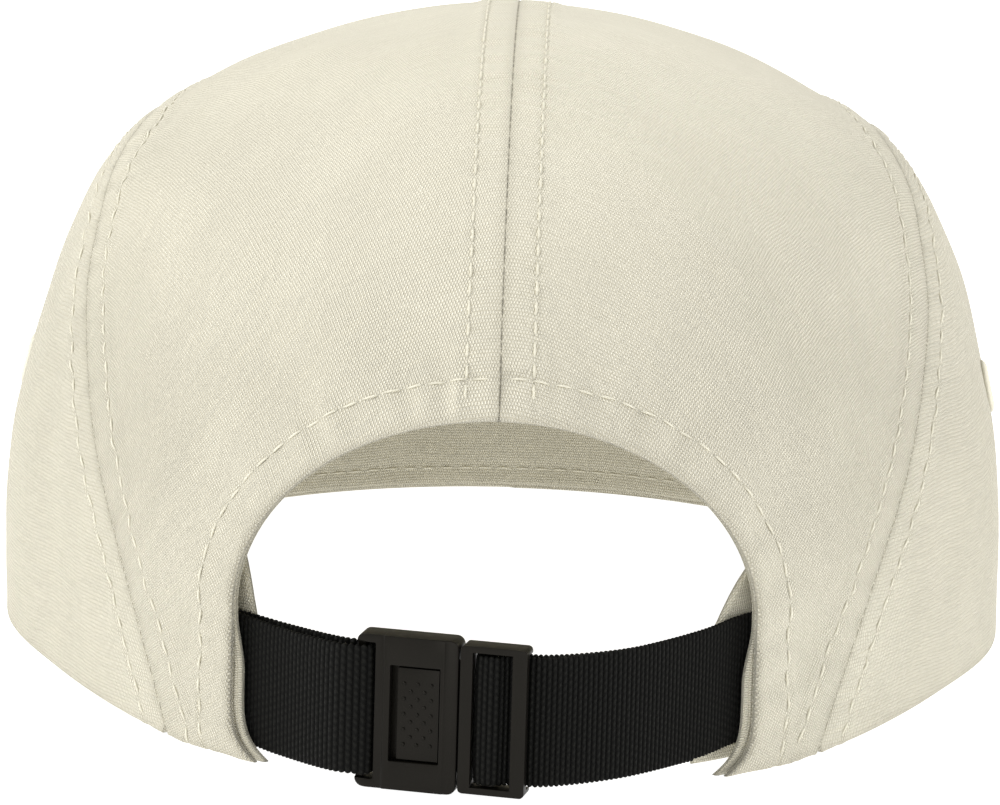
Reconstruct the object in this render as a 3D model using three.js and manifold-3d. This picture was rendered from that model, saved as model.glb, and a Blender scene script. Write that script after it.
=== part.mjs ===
// A five panel cap with a flat peak, an arched opening at the back and a webbing strap with a side
// release buckle. Millimetres, +Z up, the peak towards -Y, the wearer's left towards +X. The pieces are
// worked out about the crown's own axis, with the hem on z = 0. The whole is then moved along Y, so that
// the origin is the middle of the bottom of the cap's box.
import * as THREE from "three";
import { mergeVertices } from "three/addons/utils/BufferGeometryUtils.js";
import Module from "manifold-3d";

const wasm = await Module();
wasm.setup();

// Driving dimensions, in millimetres, with angles in degrees.
const GAP = 0.3; // between two pieces that touch
const crown = {
  width: 164,
  rearReach: 103.8, // from the Z axis to the hem at the centre back
  frontReach: 100.2,
  height: 101.8,
  wall: 1.3,
  sideRise: 2.9, // the hem lifts this much over the ears
  restAngle: 35, // on each side of centre back and centre front the hem lies flat
  ridge: 2.1, // the shoulder seam stands out by this much
  hollow: 1.45, // the side panel falls in by this much below it
  rearSquareness: 1.73, // exponent of the hem's outline behind the ears, 2 being an ellipse
};
// Exponents of the wall's section: a low dome figure points the top, a high wall figure makes the side
// upright.
const section = {
  side: { dome: 1.89, wall: 3.55 },
  rear: { dome: 2.2, wall: 2.5 },
  front: { dome: 2.5, wall: 3.0 },
};
const arch = {
  width: 80.2,
  height: 55.3,
  sideHeight: 24, // the straight part of each side
  squareness: 1.9,
  footTurn: 4.2, // the foot of each side turns in by this much
  footHeight: 12,
  footSharpness: 4.5, // the higher this exponent, the lower down the foot turns
};
const facing = { thickness: 1, inset: 0.5, width: 8 }; // both from the arch's edge
const band = {
  thickness: 1.4,
  height: 32,
  lift: 1,
  // Each end shows inside the arch by an angle, and slants back by another towards the band's top.
  left: { showing: 0.4, slant: 3.4 },
  right: { showing: 5.6, slant: 7.4 },
};
const frontPanel = { hemAngle: 118, topShare: 0.4 };
const peak = { reach: 68, flare: 3.1, thickness: 2.6, rise: 6, squareness: 2.4, lift: 0.2, span: 0.99 };
const webbing = {
  width: 20,
  thickness: 1.2,
  middle: 11.4,
  sewn: 12, // an angle past the arch
  rise: 2.4, // the right piece is sewn in this much higher
};
const buckle = {
  x: 7, // its middle from the centre back
  inset: 2.2, // its middle inside the hem's reach
  lift: 0.8, // its middle over the webbing's middle
  yaw: 13,
  roll: 0.2,
  corner: 1.2,
};
const socket = {
  right: -2.6, // its right end from the buckle's middle
  length: 15.8,
  height: 23.7,
  thickness: 4.5,
  barWidth: 1.2,
  barThickness: 1.6,
  armHeight: 1.3,
  windowLength: 7.7,
  windowHeight: 14.8,
  windowInset: 2.7, // from its right end
  frontWall: 1.2,
};
const plug = {
  length: 10.2,
  height: 22.8,
  thickness: 3.6,
  endBar: 2.2,
  endBarThickness: 1.5,
  innerBar: 1.6,
  crossBar: 1.0,
  middleBar: 1.6,
  inset: 0.25, // its face behind the socket's face
  weave: 0.4, // the middle bar's face behind the back of the webbing's path
};
const tongue = { height: 17, thickness: 1.5, reach: 11.2, padInset: 0.35, padRecess: 0.3 };
const eyelet = { angle: 88, height: 42, hole: 1.8, barrel: 0.8, flange: 4.4, thickness: 0.7 };

// The shoulder seam on the wearer's left, from the corner of the front panel to the hem. around is the angle
// from the centre back, down is the share of the way from the top of the crown to the hem.
const SHOULDER_SEAM = [
  { around: 128, down: 0.455 },
  { around: 106, down: 0.398 },
  { around: 86, down: 0.412 },
  { around: 73, down: 0.49 },
  { around: 66, down: 0.6 },
  { around: 57, down: 0.725 },
  { around: 48, down: 0.852 },
  { around: 40.5, down: 1 },
];

const radians = THREE.MathUtils.degToRad;
const degrees = THREE.MathUtils.radToDeg;
const mix = THREE.MathUtils.lerp;
const smooth = THREE.MathUtils.smoothstep;

// The crown's surface

// Height share of a point: 0 at the hem, 1 at the top of the crown.
const riseShare = (down) => Math.cos((down * Math.PI) / 2);
const downAtRise = (rise) => (Math.acos(THREE.MathUtils.clamp(rise, 0, 1)) * 2) / Math.PI;
const downAtHeight = (z) => downAtRise(z / crown.height);

// Exponent of the plan outline, an ellipse at the sides and front and a little straighter behind.
function planExponent(around) {
  return mix(2, crown.rearSquareness, smooth(Math.cos(radians(around)), 0, 0.5));
}

// Share of the hem's radius that the wall has at a height share. The seam ridge and the hollow below it are
// bell curves.
function radiusShare(around, rise) {
  const sine = Math.sin(radians(around)) ** 2;
  const end = Math.cos(radians(around)) > 0 ? section.rear : section.front;
  const dome = mix(end.dome, section.side.dome, sine);
  const wall = mix(end.wall, section.side.wall, sine);
  const bell = (centre, width) => Math.exp(-(((rise - centre) / width) ** 2));
  const relief = crown.ridge * bell(0.78, 0.1) - crown.hollow * bell(0.5, 0.16);
  return (1 - rise ** wall) ** (1 / dome) + (sine * relief * 2) / crown.width;
}

// The hem's height over the surface it rests on.
function hemHeight(around) {
  const flat = Math.sin(radians(crown.restAngle));
  return crown.sideRise * smooth(Math.abs(Math.sin(radians(around))), flat, 1);
}

function outerPoint(around, down) {
  const rise = riseShare(down);
  const share = radiusShare(around, rise);
  const power = 2 / planExponent(around);
  const sine = Math.sin(radians(around));
  const cosine = Math.cos(radians(around));
  const reach = cosine > 0 ? crown.rearReach : crown.frontReach;
  return new THREE.Vector3(
    (crown.width / 2) * Math.sign(sine) * Math.abs(sine) ** power * share,
    reach * Math.sign(cosine) * Math.abs(cosine) ** power * share,
    hemHeight(around) * (1 - rise) + crown.height * rise,
  );
}

// Unit normal of the crown, pointing out, from the two directions along the surface.
function crownNormal(around, down) {
  if (down < 0.03) {
    return new THREE.Vector3(0, 0, 1);
  }
  const along = outerPoint(around + 0.5, down).sub(outerPoint(around - 0.5, down));
  const below = outerPoint(around, Math.min(down + 0.004, 1));
  const slope = below.sub(outerPoint(around, down - 0.004));
  return along.cross(slope).normalize();
}

// A point of the crown at a depth inside its outer surface.
function crownPoint(around, down, depth = 0) {
  return outerPoint(around, down).addScaledVector(crownNormal(around, down), -depth);
}

// The flat map of the crown: the top is the origin and the hem is the unit circle.
function onMap(around, down) {
  return new THREE.Vector2(Math.sin(radians(around)), Math.cos(radians(around))).multiplyScalar(down);
}
const fromMap = (point) => ({ around: degrees(Math.atan2(point.x, point.y)), down: point.length() });

// Place on the rear of the crown of a point seen from behind, found by repeated correction of the angle.
function rearPlace(x, z) {
  const rise = z / crown.height;
  let around = 20;
  for (let turn = 0; turn < 25; turn += 1) {
    const sine = Math.abs(x) / ((crown.width / 2) * radiusShare(around, rise));
    around = degrees(Math.asin(Math.min(1, sine) ** (planExponent(around) / 2)));
  }
  return { around: around * Math.sign(x), down: downAtRise(rise) };
}

// Solids

// A closed solid from a grid of outer points and the same grid of inner points.
function solidFromGrids(outer, inner) {
  const rows = outer.length;
  const columns = outer[0].length;
  const positions = [...outer.flat(), ...inner.flat()].flatMap((point) => point.toArray());
  const at = (layer, row, column) => layer * rows * columns + row * columns + column;
  const triangles = [];
  const quad = (a, b, c, d) => triangles.push(a, b, c, a, c, d);
  for (let row = 0; row + 1 < rows; row += 1) {
    for (let column = 0; column + 1 < columns; column += 1) {
      quad(at(0, row, column), at(0, row, column + 1), at(0, row + 1, column + 1), at(0, row + 1, column));
      quad(at(1, row, column), at(1, row + 1, column), at(1, row + 1, column + 1), at(1, row, column + 1));
    }
  }
  for (let row = 0; row + 1 < rows; row += 1) {
    const last = columns - 1;
    quad(at(0, row, 0), at(0, row + 1, 0), at(1, row + 1, 0), at(1, row, 0));
    quad(at(0, row + 1, last), at(0, row, last), at(1, row, last), at(1, row + 1, last));
  }
  for (let column = 0; column + 1 < columns; column += 1) {
    const last = rows - 1;
    quad(at(0, 0, column + 1), at(0, 0, column), at(1, 0, column), at(1, 0, column + 1));
    quad(at(0, last, column), at(0, last, column + 1), at(1, last, column + 1), at(1, last, column));
  }
  return facingOut(positions, triangles);
}

// Volume inside the triangles, negative where they face in.
function signedVolume(positions, triangles) {
  const corner = (index) => new THREE.Vector3().fromArray(positions, index * 3);
  let sum = 0;
  for (let i = 0; i < triangles.length; i += 3) {
    const [a, b, c] = [0, 1, 2].map((k) => corner(triangles[i + k]));
    sum += a.dot(b.cross(c)) / 6;
  }
  return sum;
}

function facingOut(positions, triangles) {
  const turned = signedVolume(positions, triangles) < 0 ? [...triangles].reverse() : triangles;
  const geometry = new THREE.BufferGeometry();
  geometry.setAttribute("position", new THREE.Float32BufferAttribute(positions, 3));
  geometry.setIndex(turned);
  return geometry;
}

function toManifold(geometry) {
  const bare = geometry.clone();
  bare.deleteAttribute("normal");
  bare.deleteAttribute("uv");
  const merged = mergeVertices(bare, 1e-4);
  const vertProperties = new Float32Array(merged.attributes.position.array);
  const triVerts = new Uint32Array(merged.index.array);
  return new wasm.Manifold(new wasm.Mesh({ numProp: 3, vertProperties, triVerts }));
}

function fromManifold(solid) {
  const mesh = solid.getMesh();
  const geometry = new THREE.BufferGeometry();
  geometry.setAttribute("position", new THREE.BufferAttribute(new Float32Array(mesh.vertProperties), 3));
  geometry.setIndex(new THREE.BufferAttribute(new Uint32Array(mesh.triVerts), 1));
  return geometry;
}

// A block from its lowest and highest corners.
function block(low, high) {
  const size = high.map((value, axis) => value - low[axis]);
  const geometry = new THREE.BoxGeometry(...size);
  return toManifold(geometry.translate(...low.map((value, axis) => value + size[axis] / 2)));
}

// A plate with rounded corners in the XZ plane, from one Y to another.
function roundedPlate(left, right, bottom, top, corner, back, front) {
  const shape = new THREE.Shape();
  shape.moveTo(left + corner, bottom);
  shape.lineTo(right - corner, bottom);
  shape.absarc(right - corner, bottom + corner, corner, -Math.PI / 2, 0);
  shape.absarc(right - corner, top - corner, corner, 0, Math.PI / 2);
  shape.absarc(left + corner, top - corner, corner, Math.PI / 2, Math.PI);
  shape.absarc(left + corner, bottom + corner, corner, Math.PI, (3 * Math.PI) / 2);
  const settings = { depth: front - back, bevelEnabled: false, curveSegments: 3 };
  const geometry = new THREE.ExtrudeGeometry(shape, settings);
  return toManifold(geometry.rotateX(Math.PI / 2).translate(0, front, 0));
}

// Panels

// A patch of the crown's map between four edges, each given by its map point at a share along it. Every
// inside point is the blend of the two pairs of edges less the blend of the corners.
function blendEdges({ top, bottom, near, far }) {
  return (u, v) => {
    const across = top(u).lerp(bottom(u), v);
    const along = near(v).lerp(far(v), u);
    const corners = top(0).lerp(top(1), u).lerp(bottom(0).lerp(bottom(1), u), v);
    return across.add(along).sub(corners);
  };
}

// A panel over a patch. It stands back from its seams by half the gap, and the patch's v runs down its
// rows.
function panel(patch, columns, rows, seams) {
  const place = (u, v) => {
    const { around, down } = fromMap(patch(u, v));
    return crownPoint(around, Math.min(down, 1));
  };
  const half = GAP / 2;
  const grids = [0, crown.wall].map((depth) => {
    const grid = [];
    for (let row = 0; row <= rows; row += 1) {
      const line = [];
      for (let column = 0; column <= columns; column += 1) {
        const [u0, v0] = [column / columns, row / rows];
        const width = place(0, v0).distanceTo(place(1, v0));
        const length = place(u0, 0).distanceTo(place(u0, 1));
        const u = mix(seams.near ? half / width : 0, seams.far ? 1 - half / width : 1, u0);
        const v = mix(seams.top ? half / length : 0, 1, v0);
        const { around, down } = fromMap(patch(u, v));
        line.push(crownPoint(around, Math.min(down, 1), depth));
      }
      grid.push(line);
    }
    return grid;
  });
  return solidFromGrids(...grids);
}

// The arch seen from behind: share 0 is its top, share 1 its foot. grow widens it all round.
const ARCH_CURVE_SHARE = 0.64;
function archPlace(share, grow = 0) {
  const halfWidth = arch.width / 2 + grow;
  const power = 2 / arch.squareness;
  let x = halfWidth;
  let z = 0;
  if (share < ARCH_CURVE_SHARE) {
    const angle = ((share / ARCH_CURVE_SHARE) * Math.PI) / 2;
    x = halfWidth * Math.sin(angle) ** power;
    z = arch.sideHeight + (arch.height + grow - arch.sideHeight) * Math.cos(angle) ** power;
  } else {
    z = (arch.sideHeight * (1 - share)) / (1 - ARCH_CURVE_SHARE);
  }
  const foot = Math.max(0, 1 - z / arch.footHeight);
  return rearPlace(x - arch.footTurn * foot ** arch.footSharpness, z);
}

const mapOf = ({ around, down }) => onMap(around, down);
const seamCurve = new THREE.SplineCurve(SHOULDER_SEAM.map(mapOf));
const shoulder = (share) => seamCurve.getPointAt(share);
const frontCorner = SHOULDER_SEAM[0];
const seamFoot = SHOULDER_SEAM[SHOULDER_SEAM.length - 1];
const hem = (from, to) => (share) => onMap(mix(from, to, share), 1);

// The seam between the front and side panels, from the corner down to the hem.
const frontSeam = (share) =>
  onMap(mix(frontCorner.around, frontPanel.hemAngle, share), mix(frontCorner.down, 1, share));

// The seam over the front panel, from the centre out to the corner, bowed towards the front.
function topSeam(share) {
  const corner = mapOf(frontCorner);
  return new THREE.Vector2(corner.x * share, mix(-frontPanel.topShare, corner.y, share ** 2));
}

const mirrored = (point) => new THREE.Vector2(-point.x, point.y);

function frontPanelSolid() {
  const patch = blendEdges({
    top: (u) => (u < 0.5 ? mirrored(topSeam(1 - 2 * u)) : topSeam(2 * u - 1)),
    bottom: hem(360 - frontPanel.hemAngle, frontPanel.hemAngle),
    near: (v) => mirrored(frontSeam(v)),
    far: frontSeam,
  });
  return panel(patch, 24, 10, { near: true, far: true, top: true });
}

// The side panel hangs from the shoulder seam. Its tip behind is cut off just above the hem.
const TIP_SHARE = 0.012;
function sidePanelSolid() {
  const patch = (u, v) => {
    const share = mix(TIP_SHARE, 1, u);
    const upper = fromMap(shoulder(1 - share));
    const lower = mix(seamFoot.around, frontPanel.hemAngle, share);
    return onMap(mix(upper.around, lower, v), mix(upper.down, 1, v));
  };
  return panel(patch, 26, 8, { near: true, far: true, top: true });
}

// A top panel has the centre seam and then the arch as its near edge, and the shoulder seam as its far
// edge.
const TOP_ROWS = 26;
const ROWS_TO_ARCH = 14;
const SHOULDER_AT_ARCH = 0.47;
function topPanelSolid() {
  const turn = ROWS_TO_ARCH / TOP_ROWS;
  const archTop = archPlace(0);
  const near = (v) =>
    v <= turn
      ? new THREE.Vector2(0, mix(-frontPanel.topShare, archTop.down, v / turn))
      : mapOf(archPlace((v - turn) / (1 - turn)));
  const far = (v) => {
    const past = (v - turn) / (1 - turn);
    return shoulder(v <= turn ? (SHOULDER_AT_ARCH * v) / turn : mix(SHOULDER_AT_ARCH, 1, past));
  };
  const foot = archPlace(1);
  const patch = blendEdges({ top: topSeam, bottom: hem(foot.around, seamFoot.around), near, far });
  return panel(patch, 12, TOP_ROWS, { near: true, far: true, top: true });
}

// Trim inside the crown

// The angle at which the arch's straight sides start.
const archEdge = archPlace(ARCH_CURVE_SHARE).around;

const FACING_DEPTH = crown.wall + GAP;
function facingSolid() {
  const steps = 44;
  const grids = [FACING_DEPTH, FACING_DEPTH + facing.thickness].map((depth) =>
    [facing.inset, facing.width].map((grow) => {
      const line = [];
      for (let step = 0; step <= steps; step += 1) {
        const share = (2 * step) / steps - 1;
        const place = archPlace(Math.abs(share), grow);
        line.push(crownPoint(place.around * Math.sign(share), place.down, depth));
      }
      return line;
    }),
  );
  return solidFromGrids(...grids);
}

// Depth of the middle of each layer of webbing where it is sewn in behind the facing.
const WEB_PITCH = webbing.thickness + GAP;
const WEB_TOP = webbing.middle + webbing.width / 2;
const WEB_DEPTH = FACING_DEPTH + facing.thickness + GAP + webbing.thickness / 2;

// The sweatband lies against the wall. At its two ends it stands upright and further in, clear of the
// facing and the webbing.
const BAND_BLEND = 14; // the angle over which it comes back to the wall
function sweatbandSolid() {
  const steps = 60;
  const levels = 3;
  const webDown = downAtHeight(WEB_TOP + webbing.rise);
  const clearAngle = archEdge + webbing.sewn + 4;
  const place = (around, down, depth) => {
    const fromEnd = around < 180 ? around : 360 - around;
    const layers = around < 180 ? 2 : 1;
    const room = 1 - smooth(fromEnd, clearAngle, clearAngle + BAND_BLEND);
    const inward = room * (WEB_DEPTH + (layers - 0.5) * WEB_PITCH + GAP - FACING_DEPTH);
    const point = crownPoint(around, down, FACING_DEPTH + inward + depth);
    const upright = crownPoint(around, Math.min(down, webDown), FACING_DEPTH + inward + depth);
    point.setX(mix(point.x, upright.x, room));
    point.setY(mix(point.y, upright.y, room));
    return point;
  };
  const grids = [0, band.thickness].map((depth) => {
    const grid = [];
    for (let level = 0; level <= levels; level += 1) {
      const up = 1 - level / levels;
      const down = downAtHeight(mix(band.lift, band.height, up));
      const endAngle = ({ showing, slant }) => archEdge - showing + slant * up ** 3;
      const [start, end] = [endAngle(band.left), endAngle(band.right)];
      const line = [];
      for (let step = 0; step <= steps; step += 1) {
        line.push(place(mix(start, 360 - end, step / steps), down, depth));
      }
      grid.push(line);
    }
    return grid;
  });
  return solidFromGrids(...grids);
}

// Peak

function peakSolid() {
  const [columns, rows] = [34, 6];
  const corner = outerPoint(frontPanel.hemAngle, 1);
  const reach = crown.frontReach + peak.reach + corner.y;
  const power = 2 / peak.squareness;
  const grids = [peak.thickness, 0].map((layer) => {
    const grid = [];
    for (let row = 0; row <= rows; row += 1) {
      const out = row / rows;
      const line = [];
      for (let column = 0; column <= columns; column += 1) {
        const across = mix(-peak.span, peak.span, column / columns);
        const inner = crownPoint(180 - across * (180 - frontPanel.hemAngle), 1, -GAP);
        const angle = (across * Math.PI) / 2;
        const outerX = (corner.x + peak.flare) * Math.sign(across) * Math.abs(Math.sin(angle)) ** power;
        const outerY = corner.y - reach * Math.cos(angle) ** power;
        const lift = peak.lift + peak.rise * smooth(out, 0, 1) * (1 - across ** 2);
        line.push(new THREE.Vector3(mix(inner.x, outerX, out), mix(inner.y, outerY, out), lift + layer));
      }
      grid.push(line);
    }
    return grid;
  });
  return solidFromGrids(...grids);
}

// Buckle, in its own frame: +X towards the socket, +Y outwards and +Z up

const buckleGroup = new THREE.Group();
buckleGroup.position.set(buckle.x, crown.rearReach - buckle.inset, webbing.middle + buckle.lift);
buckleGroup.rotation.set(0, -radians(buckle.roll), -radians(buckle.yaw), "ZYX");
buckleGroup.updateMatrixWorld(true);

const slotWidth = webbing.thickness + 2 * GAP;
const socketLeft = socket.right + socket.length;
const slotLeft = socketLeft - socket.barWidth;
const plateLeft = slotLeft - slotWidth;
const windowRight = socket.right + socket.windowInset;
const windowLeft = windowRight + socket.windowLength;
const CUT = 1; // a cutter passes the face it opens by this much

function socketSolid() {
  const front = socket.thickness / 2;
  const top = socket.height / 2;
  const armInside = top - socket.armHeight;
  const cavityTop = tongue.height / 2 + GAP;
  const cavityFront = front - socket.frontWall;
  const cavityBack = cavityFront - tongue.thickness - 2 * GAP;
  const windowTop = socket.windowHeight / 2;
  const bar = socket.barThickness / 2;
  const cavityEnd = socket.right + tongue.reach;
  const cavityMiddle = (cavityBack + cavityFront) / 2;
  const cutters = [
    block([plateLeft, -front - CUT, -armInside], [slotLeft, front + CUT, armInside]),
    block([slotLeft - CUT, bar, -armInside], [socketLeft + CUT, front + CUT, armInside]),
    block([slotLeft - CUT, -front - CUT, -armInside], [socketLeft + CUT, -bar, armInside]),
    block([socket.right - CUT, cavityBack, -cavityTop], [cavityEnd, cavityFront, cavityTop]),
    block([windowRight, cavityMiddle, -windowTop], [windowLeft, front + CUT, windowTop]),
  ];
  const plate = roundedPlate(socket.right, socketLeft, -top, top, buckle.corner, -front, front);
  return cutters.reduce((solid, cutter) => solid.subtract(cutter), plate);
}

// Edges of the plug's bars along its length.
const plugLeft = socket.right - GAP;
const plugRight = plugLeft - plug.length;
const plugFront = socket.thickness / 2 - plug.inset;
const endBarLeft = plugRight + plug.endBar;
const innerBarRight = plugLeft - plug.innerBar;
const middleBarLeft = innerBarRight - slotWidth;
const middleBarRight = middleBarLeft - plug.middleBar;
const middleBarFront = plugFront - webbing.thickness - plug.weave;
const middleBarBack = middleBarFront - plug.middleBar;

function plugSolid() {
  const top = plug.height / 2;
  const inside = top - plug.crossBar;
  const back = plugFront - plug.thickness;
  const endBarBack = plugFront - plug.endBarThickness;
  const frame = roundedPlate(plugRight, plugLeft, -top, top, buckle.corner / 2, back, plugFront)
    .subtract(block([endBarLeft, back - CUT, -inside], [innerBarRight, plugFront + CUT, inside]))
    .subtract(block([plugRight - CUT, back - CUT, -inside], [endBarLeft + 0.01, endBarBack, inside]));
  const barTop = inside + plug.crossBar / 2;
  const middleBar = block([middleBarRight, middleBarBack, -barTop], [middleBarLeft, middleBarFront, barTop]);
  const tongueFront = socket.thickness / 2 - socket.frontWall - GAP;
  const tongueBack = tongueFront - tongue.thickness;
  const tongueEnd = socket.right + tongue.reach - GAP;
  const half = tongue.height / 2;
  const root = plugLeft - plug.innerBar / 2;
  const blade = block([root, tongueBack, -half], [tongueEnd, tongueFront, half]);
  const padTop = socket.windowHeight / 2 - tongue.padInset;
  const padRight = windowRight + tongue.padInset;
  const padLeft = windowLeft - tongue.padInset;
  const padFront = socket.thickness / 2 - tongue.padRecess;
  const pad = block([padRight, (tongueBack + tongueFront) / 2, -padTop], [padLeft, padFront, padTop]);
  return frame.add(middleBar).add(blade).add(pad);
}

// Webbing

// A flat strip along a route. Each stop gives the strip's middle line and the direction of its width.
function ribbon(stops, stepsPerStop) {
  const middle = new THREE.CatmullRomCurve3(stops.map((stop) => stop.point), false, "centripetal");
  const spans = stops.length - 1;
  const count = spans * stepsPerStop;
  const faces = { front: [], back: [] };
  for (let step = 0; step <= count; step += 1) {
    const share = step / count;
    const index = Math.min(Math.floor(share * spans), spans - 1);
    const up = stops[index].up.clone().lerp(stops[index + 1].up, share * spans - index).normalize();
    const side = middle.getTangent(share).cross(up).normalize();
    const point = middle.getPoint(share);
    const low = point.clone().addScaledVector(up, -webbing.width / 2);
    const high = point.clone().addScaledVector(up, webbing.width / 2);
    const half = webbing.thickness / 2;
    faces.front.push([low.clone().addScaledVector(side, half), high.clone().addScaledVector(side, half)]);
    faces.back.push([low.addScaledVector(side, -half), high.addScaledVector(side, -half)]);
  }
  return solidFromGrids(faces.front, faces.back);
}

const UPRIGHT = new THREE.Vector3(0, 0, 1);
const buckleUp = UPRIGHT.clone().transformDirection(buckleGroup.matrixWorld);
// A stop in the buckle's frame.
const inBuckle = (x, y) => ({ point: buckleGroup.localToWorld(new THREE.Vector3(x, y, 0)), up: buckleUp });
// A stop at a depth under the crown's surface, on the left with side 1 and on the right with side -1.
function underCrown(side, around, depth, lift = 0) {
  const point = crownPoint(around, downAtHeight(WEB_TOP + lift), depth);
  return { point: new THREE.Vector3(side * point.x, point.y, webbing.middle + lift), up: UPRIGHT };
}

// The stops that carry webbing round the edge of a bar, from the front of it to the back. The edge is at x,
// and side tells which way the webbing passes it.
const WRAP = GAP + webbing.thickness / 2;
function wrapStops(x, side, front, back) {
  const slant = WRAP * Math.SQRT1_2;
  return [
    inBuckle(x, front + WRAP),
    inBuckle(x + side * slant, front + slant),
    inBuckle(x + side * WRAP, front),
    inBuckle(x + side * WRAP, back),
    inBuckle(x + side * slant, back - slant),
    inBuckle(x, back - WRAP),
  ];
}

// Angles from the centre back at which the webbing is sewn in, from the inner end to the arch's edge.
const SEWN_ANGLES = [archEdge + webbing.sewn, archEdge + webbing.sewn / 2, archEdge];
const sewnStops = (side, depth, lift = 0) =>
  SEWN_ANGLES.map((around) => underCrown(side, around, depth, lift));

// The left piece goes round the socket's bar and comes back on itself.
const LEFT_RUN = { angle: 27 / 32, depth: 1.8, squeeze: 1, straight: 2.5 };
function leftWebbing() {
  const layer = socket.barThickness / 2 + WRAP;
  const around = archEdge * LEFT_RUN.angle;
  return ribbon(
    [
      ...sewnStops(1, WEB_DEPTH),
      underCrown(1, around, LEFT_RUN.depth),
      inBuckle(socketLeft + LEFT_RUN.straight, layer),
      ...wrapStops(slotLeft, -1, socket.barThickness / 2, -socket.barThickness / 2),
      inBuckle(socketLeft + LEFT_RUN.straight, -layer),
      underCrown(1, around, LEFT_RUN.depth + 2 * layer - LEFT_RUN.squeeze),
      ...sewnStops(1, WEB_DEPTH + WEB_PITCH).reverse(),
    ],
    3,
  );
}

// The right piece passes behind the plug's end bar, over the middle bar and back, and its tail lies behind,
// a little lower. Its lifts are shares of the webbing's rise.
const RIGHT_RUN = [
  { angle: 26 / 32, depth: 1.3, lift: 0.75, tailLift: 0.35 },
  { angle: 1 / 2, depth: -2, lift: 0.5, tailLift: 0.3 },
];
function rightWebbing() {
  const over = middleBarFront + WRAP;
  const under = middleBarBack - WRAP;
  const behind = plugFront - plug.endBarThickness - WRAP;
  const entry = plugRight - 1.5;
  const place = (stop, below, lift) =>
    underCrown(-1, archEdge * stop.angle, stop.depth + below, webbing.rise * lift);
  const run = RIGHT_RUN.map((stop) => place(stop, 0, stop.lift));
  const tail = RIGHT_RUN.map((stop) => place(stop, behind - under, stop.tailLift));
  return ribbon(
    [
      ...sewnStops(-1, WEB_DEPTH, webbing.rise),
      ...run,
      inBuckle(entry, behind),
      inBuckle(endBarLeft - 0.5, behind),
      inBuckle(endBarLeft + 1.5, (behind + over) / 2),
      inBuckle(middleBarRight - 0.2, over),
      ...wrapStops(middleBarLeft, 1, middleBarFront, middleBarBack),
      inBuckle(endBarLeft, under),
      inBuckle(entry, under),
      ...tail.reverse(),
    ],
    3,
  );
}

// Eyelets

// Where an eyelet sits on the left side panel, and how it faces.
function eyeletFrame() {
  const down = downAtHeight(eyelet.height);
  const normal = crownNormal(eyelet.angle, down);
  return {
    centre: outerPoint(eyelet.angle, down),
    turn: new THREE.Quaternion().setFromUnitVectors(new THREE.Vector3(0, 1, 0), normal),
  };
}

// A sewn ring that wraps the hole's edge: a flange outside, a barrel through the wall and a flange inside.
function eyeletSolid() {
  const outside = GAP;
  const inside = -crown.wall - GAP;
  const barrel = eyelet.hole + eyelet.barrel;
  const profile = [
    [eyelet.hole, inside - eyelet.thickness],
    [eyelet.flange, inside - eyelet.thickness],
    [eyelet.flange, inside],
    [barrel, inside],
    [barrel, outside],
    [eyelet.flange, outside],
    [eyelet.flange - eyelet.thickness / 2, outside + eyelet.thickness],
    [eyelet.hole, outside + eyelet.thickness],
    [eyelet.hole, inside - eyelet.thickness],
  ].map(([radius, height]) => new THREE.Vector2(radius, height));
  const { centre, turn } = eyeletFrame();
  const ring = new THREE.LatheGeometry(profile, 16);
  return fromManifold(toManifold(ring)).applyQuaternion(turn).translate(centre.x, centre.y, centre.z);
}

function holeCutter() {
  const { centre, turn } = eyeletFrame();
  const radius = eyelet.hole + eyelet.barrel + GAP;
  const cutter = new THREE.CylinderGeometry(radius, radius, crown.wall * 8, 16);
  return toManifold(cutter.applyQuaternion(turn).translate(centre.x, centre.y, centre.z));
}

// The mirror image of a solid about the plane between left and right.
function mirrorSolid(geometry) {
  const copy = geometry.clone().scale(-1, 1, 1);
  const index = [...copy.index.array].reverse();
  copy.setIndex(index);
  return copy;
}

// Assembly

const canvas = new THREE.MeshStandardMaterial({ color: "#e4dfca", roughness: 0.95, metalness: 0 });
const trim = new THREE.MeshStandardMaterial({ color: "#d5cfb8", roughness: 0.95, metalness: 0 });
const web = new THREE.MeshStandardMaterial({ color: "#1b1c18", roughness: 0.85, metalness: 0 });
const moulded = new THREE.MeshStandardMaterial({ color: "#2e2d28", roughness: 0.5, metalness: 0 });

const cap = new THREE.Group();
function addPiece(name, geometry, material, parent = cap) {
  const mesh = new THREE.Mesh(geometry, material);
  mesh.name = name;
  parent.add(mesh);
}

const topLeft = topPanelSolid();
const sideLeft = fromManifold(toManifold(sidePanelSolid()).subtract(holeCutter()));
const eyeletLeft = eyeletSolid();
addPiece("front_panel", frontPanelSolid(), canvas);
addPiece("top_panel_left", topLeft, canvas);
addPiece("top_panel_right", mirrorSolid(topLeft), canvas);
addPiece("side_panel_left", sideLeft, canvas);
addPiece("side_panel_right", mirrorSolid(sideLeft), canvas);
addPiece("peak", peakSolid(), canvas);
addPiece("sweatband", sweatbandSolid(), trim);
addPiece("opening_facing", facingSolid(), trim);
addPiece("eyelet_left", eyeletLeft, trim);
addPiece("eyelet_right", mirrorSolid(eyeletLeft), trim);
addPiece("strap_left", leftWebbing(), web);
addPiece("strap_right", rightWebbing(), web);
addPiece("buckle_socket", fromManifold(socketSolid()), moulded, buckleGroup);
addPiece("buckle_plug", fromManifold(plugSolid()), moulded, buckleGroup);
cap.add(buckleGroup);

const extent = new THREE.Box3().setFromObject(cap);
cap.position.y = -(extent.min.y + extent.max.y) / 2;

export default cap;
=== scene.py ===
"""Dresses the five panel cap: fine cloth panels, peak, bands, stitching, webbing and buckle, in one frame."""
import math

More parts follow.
